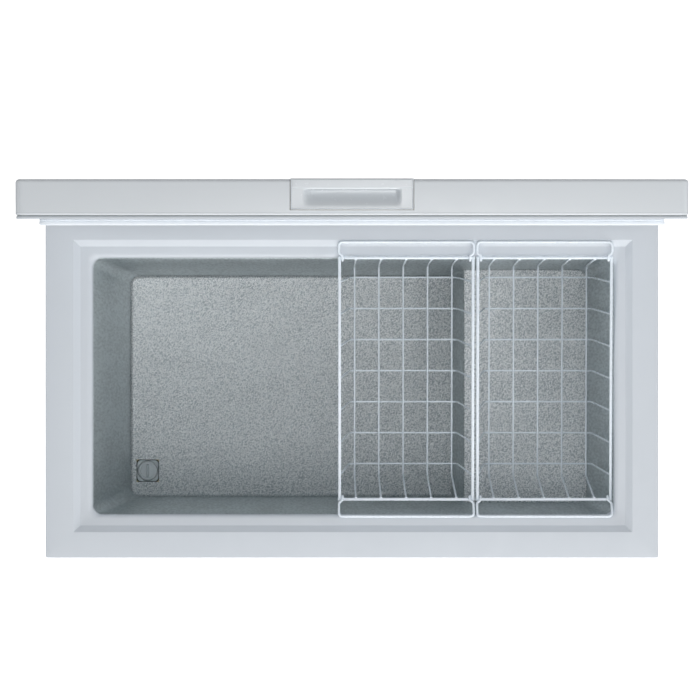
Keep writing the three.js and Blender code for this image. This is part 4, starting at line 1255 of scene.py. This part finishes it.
def inlet_bush():
    """Grommet that the supply lead would pass through."""
    middle = middle_of("inlet_gland")
    gland = Build()
    start = middle.x, local_box("inlet_gland")[0].y, middle.z
    gland.turned([
        [4.2, 2], [4.2, 19.4], [5.4, 20], [6.6, 19.6], [7, 18.6], [7.4, 15], [8.2, 14.2],
        [12.2, 13.6], [13, 13], [13, 10.8], [12.4, 10.2], [9.4, 9.8], [9, 9], [9, 1.2],
        [8, 0.2], [4.6, 0],
    ], start, (0, 1, 0))
    piece("inlet_bush", gland, BLACK_RUBBER, "cabinet", ["inlet_gland"], angle=35)


def outlet_cap():
    """Fluted cap over the end of the drain tube."""
    body = "drain_cap"
    back = local_box(body)[1].y
    middle = middle_of(body)
    cap = Build()

    def ring(radius, out, depth=0.0):
        return fluted_ring(middle, back - out, radius, 18, depth)

    cap.loft([
        ring(8.7, 0), ring(11.4, 0), ring(12, 0.6), ring(12, 2), ring(11.8, 2.4, 0.7),
        ring(11.4, 9.4, 0.7), ring(10.6, 10.6), ring(9, 11), ring(0.01, 11), ring(0.01, 8.2),
        ring(8.3, 8.2), ring(8.7, 7.8),
    ], ring=True)
    piece("drain_screw_cap", cap, BLACK_RUBBER, body, [body], angle=35)


def compressor_can():
    """Welded steel can on a foot plate."""
    low, high = local_box("compressor")
    middle = (low + high) / 2
    foot = low.z
    can = Build()
    can.turned([
        [0, 3], [52, 3], [62, 6], [70, 13], [74, 24], [76, 40], [76, 80], [79, 81], [80, 82.5],
        [80, 86], [79, 87.5], [76, 88.6], [75.4, 108], [73, 126], [67, 140], [58, 151],
        [46, 158], [30, 162.6], [14, 163.8], [0, 164],
    ], (middle.x, middle.y, foot), sides=64)
    can.loft([
        rounded_loop(low.x + i, high.x - i, low.y + i, high.y - i, 16, foot + z, 6)
        for i, z in ((12.4, 0), (12, 0.4), (12, 2.6), (12.4, 3))
    ])
    piece("compressor_can", can, BLACK_ENAMEL, "cabinet", ["compressor"], angle=35)


# material and bevel width of each CAD node that is shown as it is
KEPT = {
    "outer_wrap": (WHITE_PAINT, 0.35),
    "bottom_panel": (ZINC, 0.2),
    "compartment_panel": (ZINC, 0.2),
    "compressor_base_plate": (ZINC, 0.3),
    "service_cover": (ZINC, 0.25),
    "cabinet_foam": (FOAM, 0),
    "lid_foam": (FOAM, 0),
    "evaporator_tube": (ZINC, 0),
    "condenser_tube": (COPPER, 0),
    "filter_dryer": (COPPER, 0),
    "suction_line": (COPPER, 0),
    "discharge_line": (COPPER, 0),
    "capillary_tube": (COPPER, 0),
    "start_relay": (BLACK_PLASTIC, 2),
    "thermostat_body": (BLACK_PLASTIC, 1.5),
    "control_panel": (GREY_PLASTIC, 0.5),
    "drain_tube": (GREY_PLASTIC, 0),
}


def dress_kept_nodes():
    """CAD nodes whose shape is right get a material, soft edges and smooth shading."""
    dressed = dict(KEPT)
    for corner in CORNERS:
        dressed[f"grommet_{corner}"] = (BLACK_RUBBER, 0)
    for side in ("left", "right"):
        for part, width in (("body", 0.6), ("pin", 0.4), ("spring", 0), ("arm", 0.6)):
            dressed[f"hinge_{part}_{side}"] = (ZINC, width)
    for node, (look, width) in dressed.items():
        obj = frame["nodes"][node]
        obj.data.materials.clear()
        obj.data.materials.append(look)
        shade(obj.data, 35)
        if width:
            bevelled(obj, width, 2)


make_camera()
make_studio()
make_floor()
rim_frame()
liner_tub()
drain_pieces()
for basket_side in ("left", "right"):
    basket(basket_side)
    for basket_end in ("back", "front"):
        bail(basket_side, basket_end)
lid_skin()
lid_liner()
seam_bead()
lid_seal()
lid_grip()
back_sheet()
fasteners()
vent_louvres()
levelling_feet()
dial_knob()
dial_scale()
lamps()
hinge_covers()
inlet_bush()
outlet_cap()
compressor_can()
dress_kept_nodes()
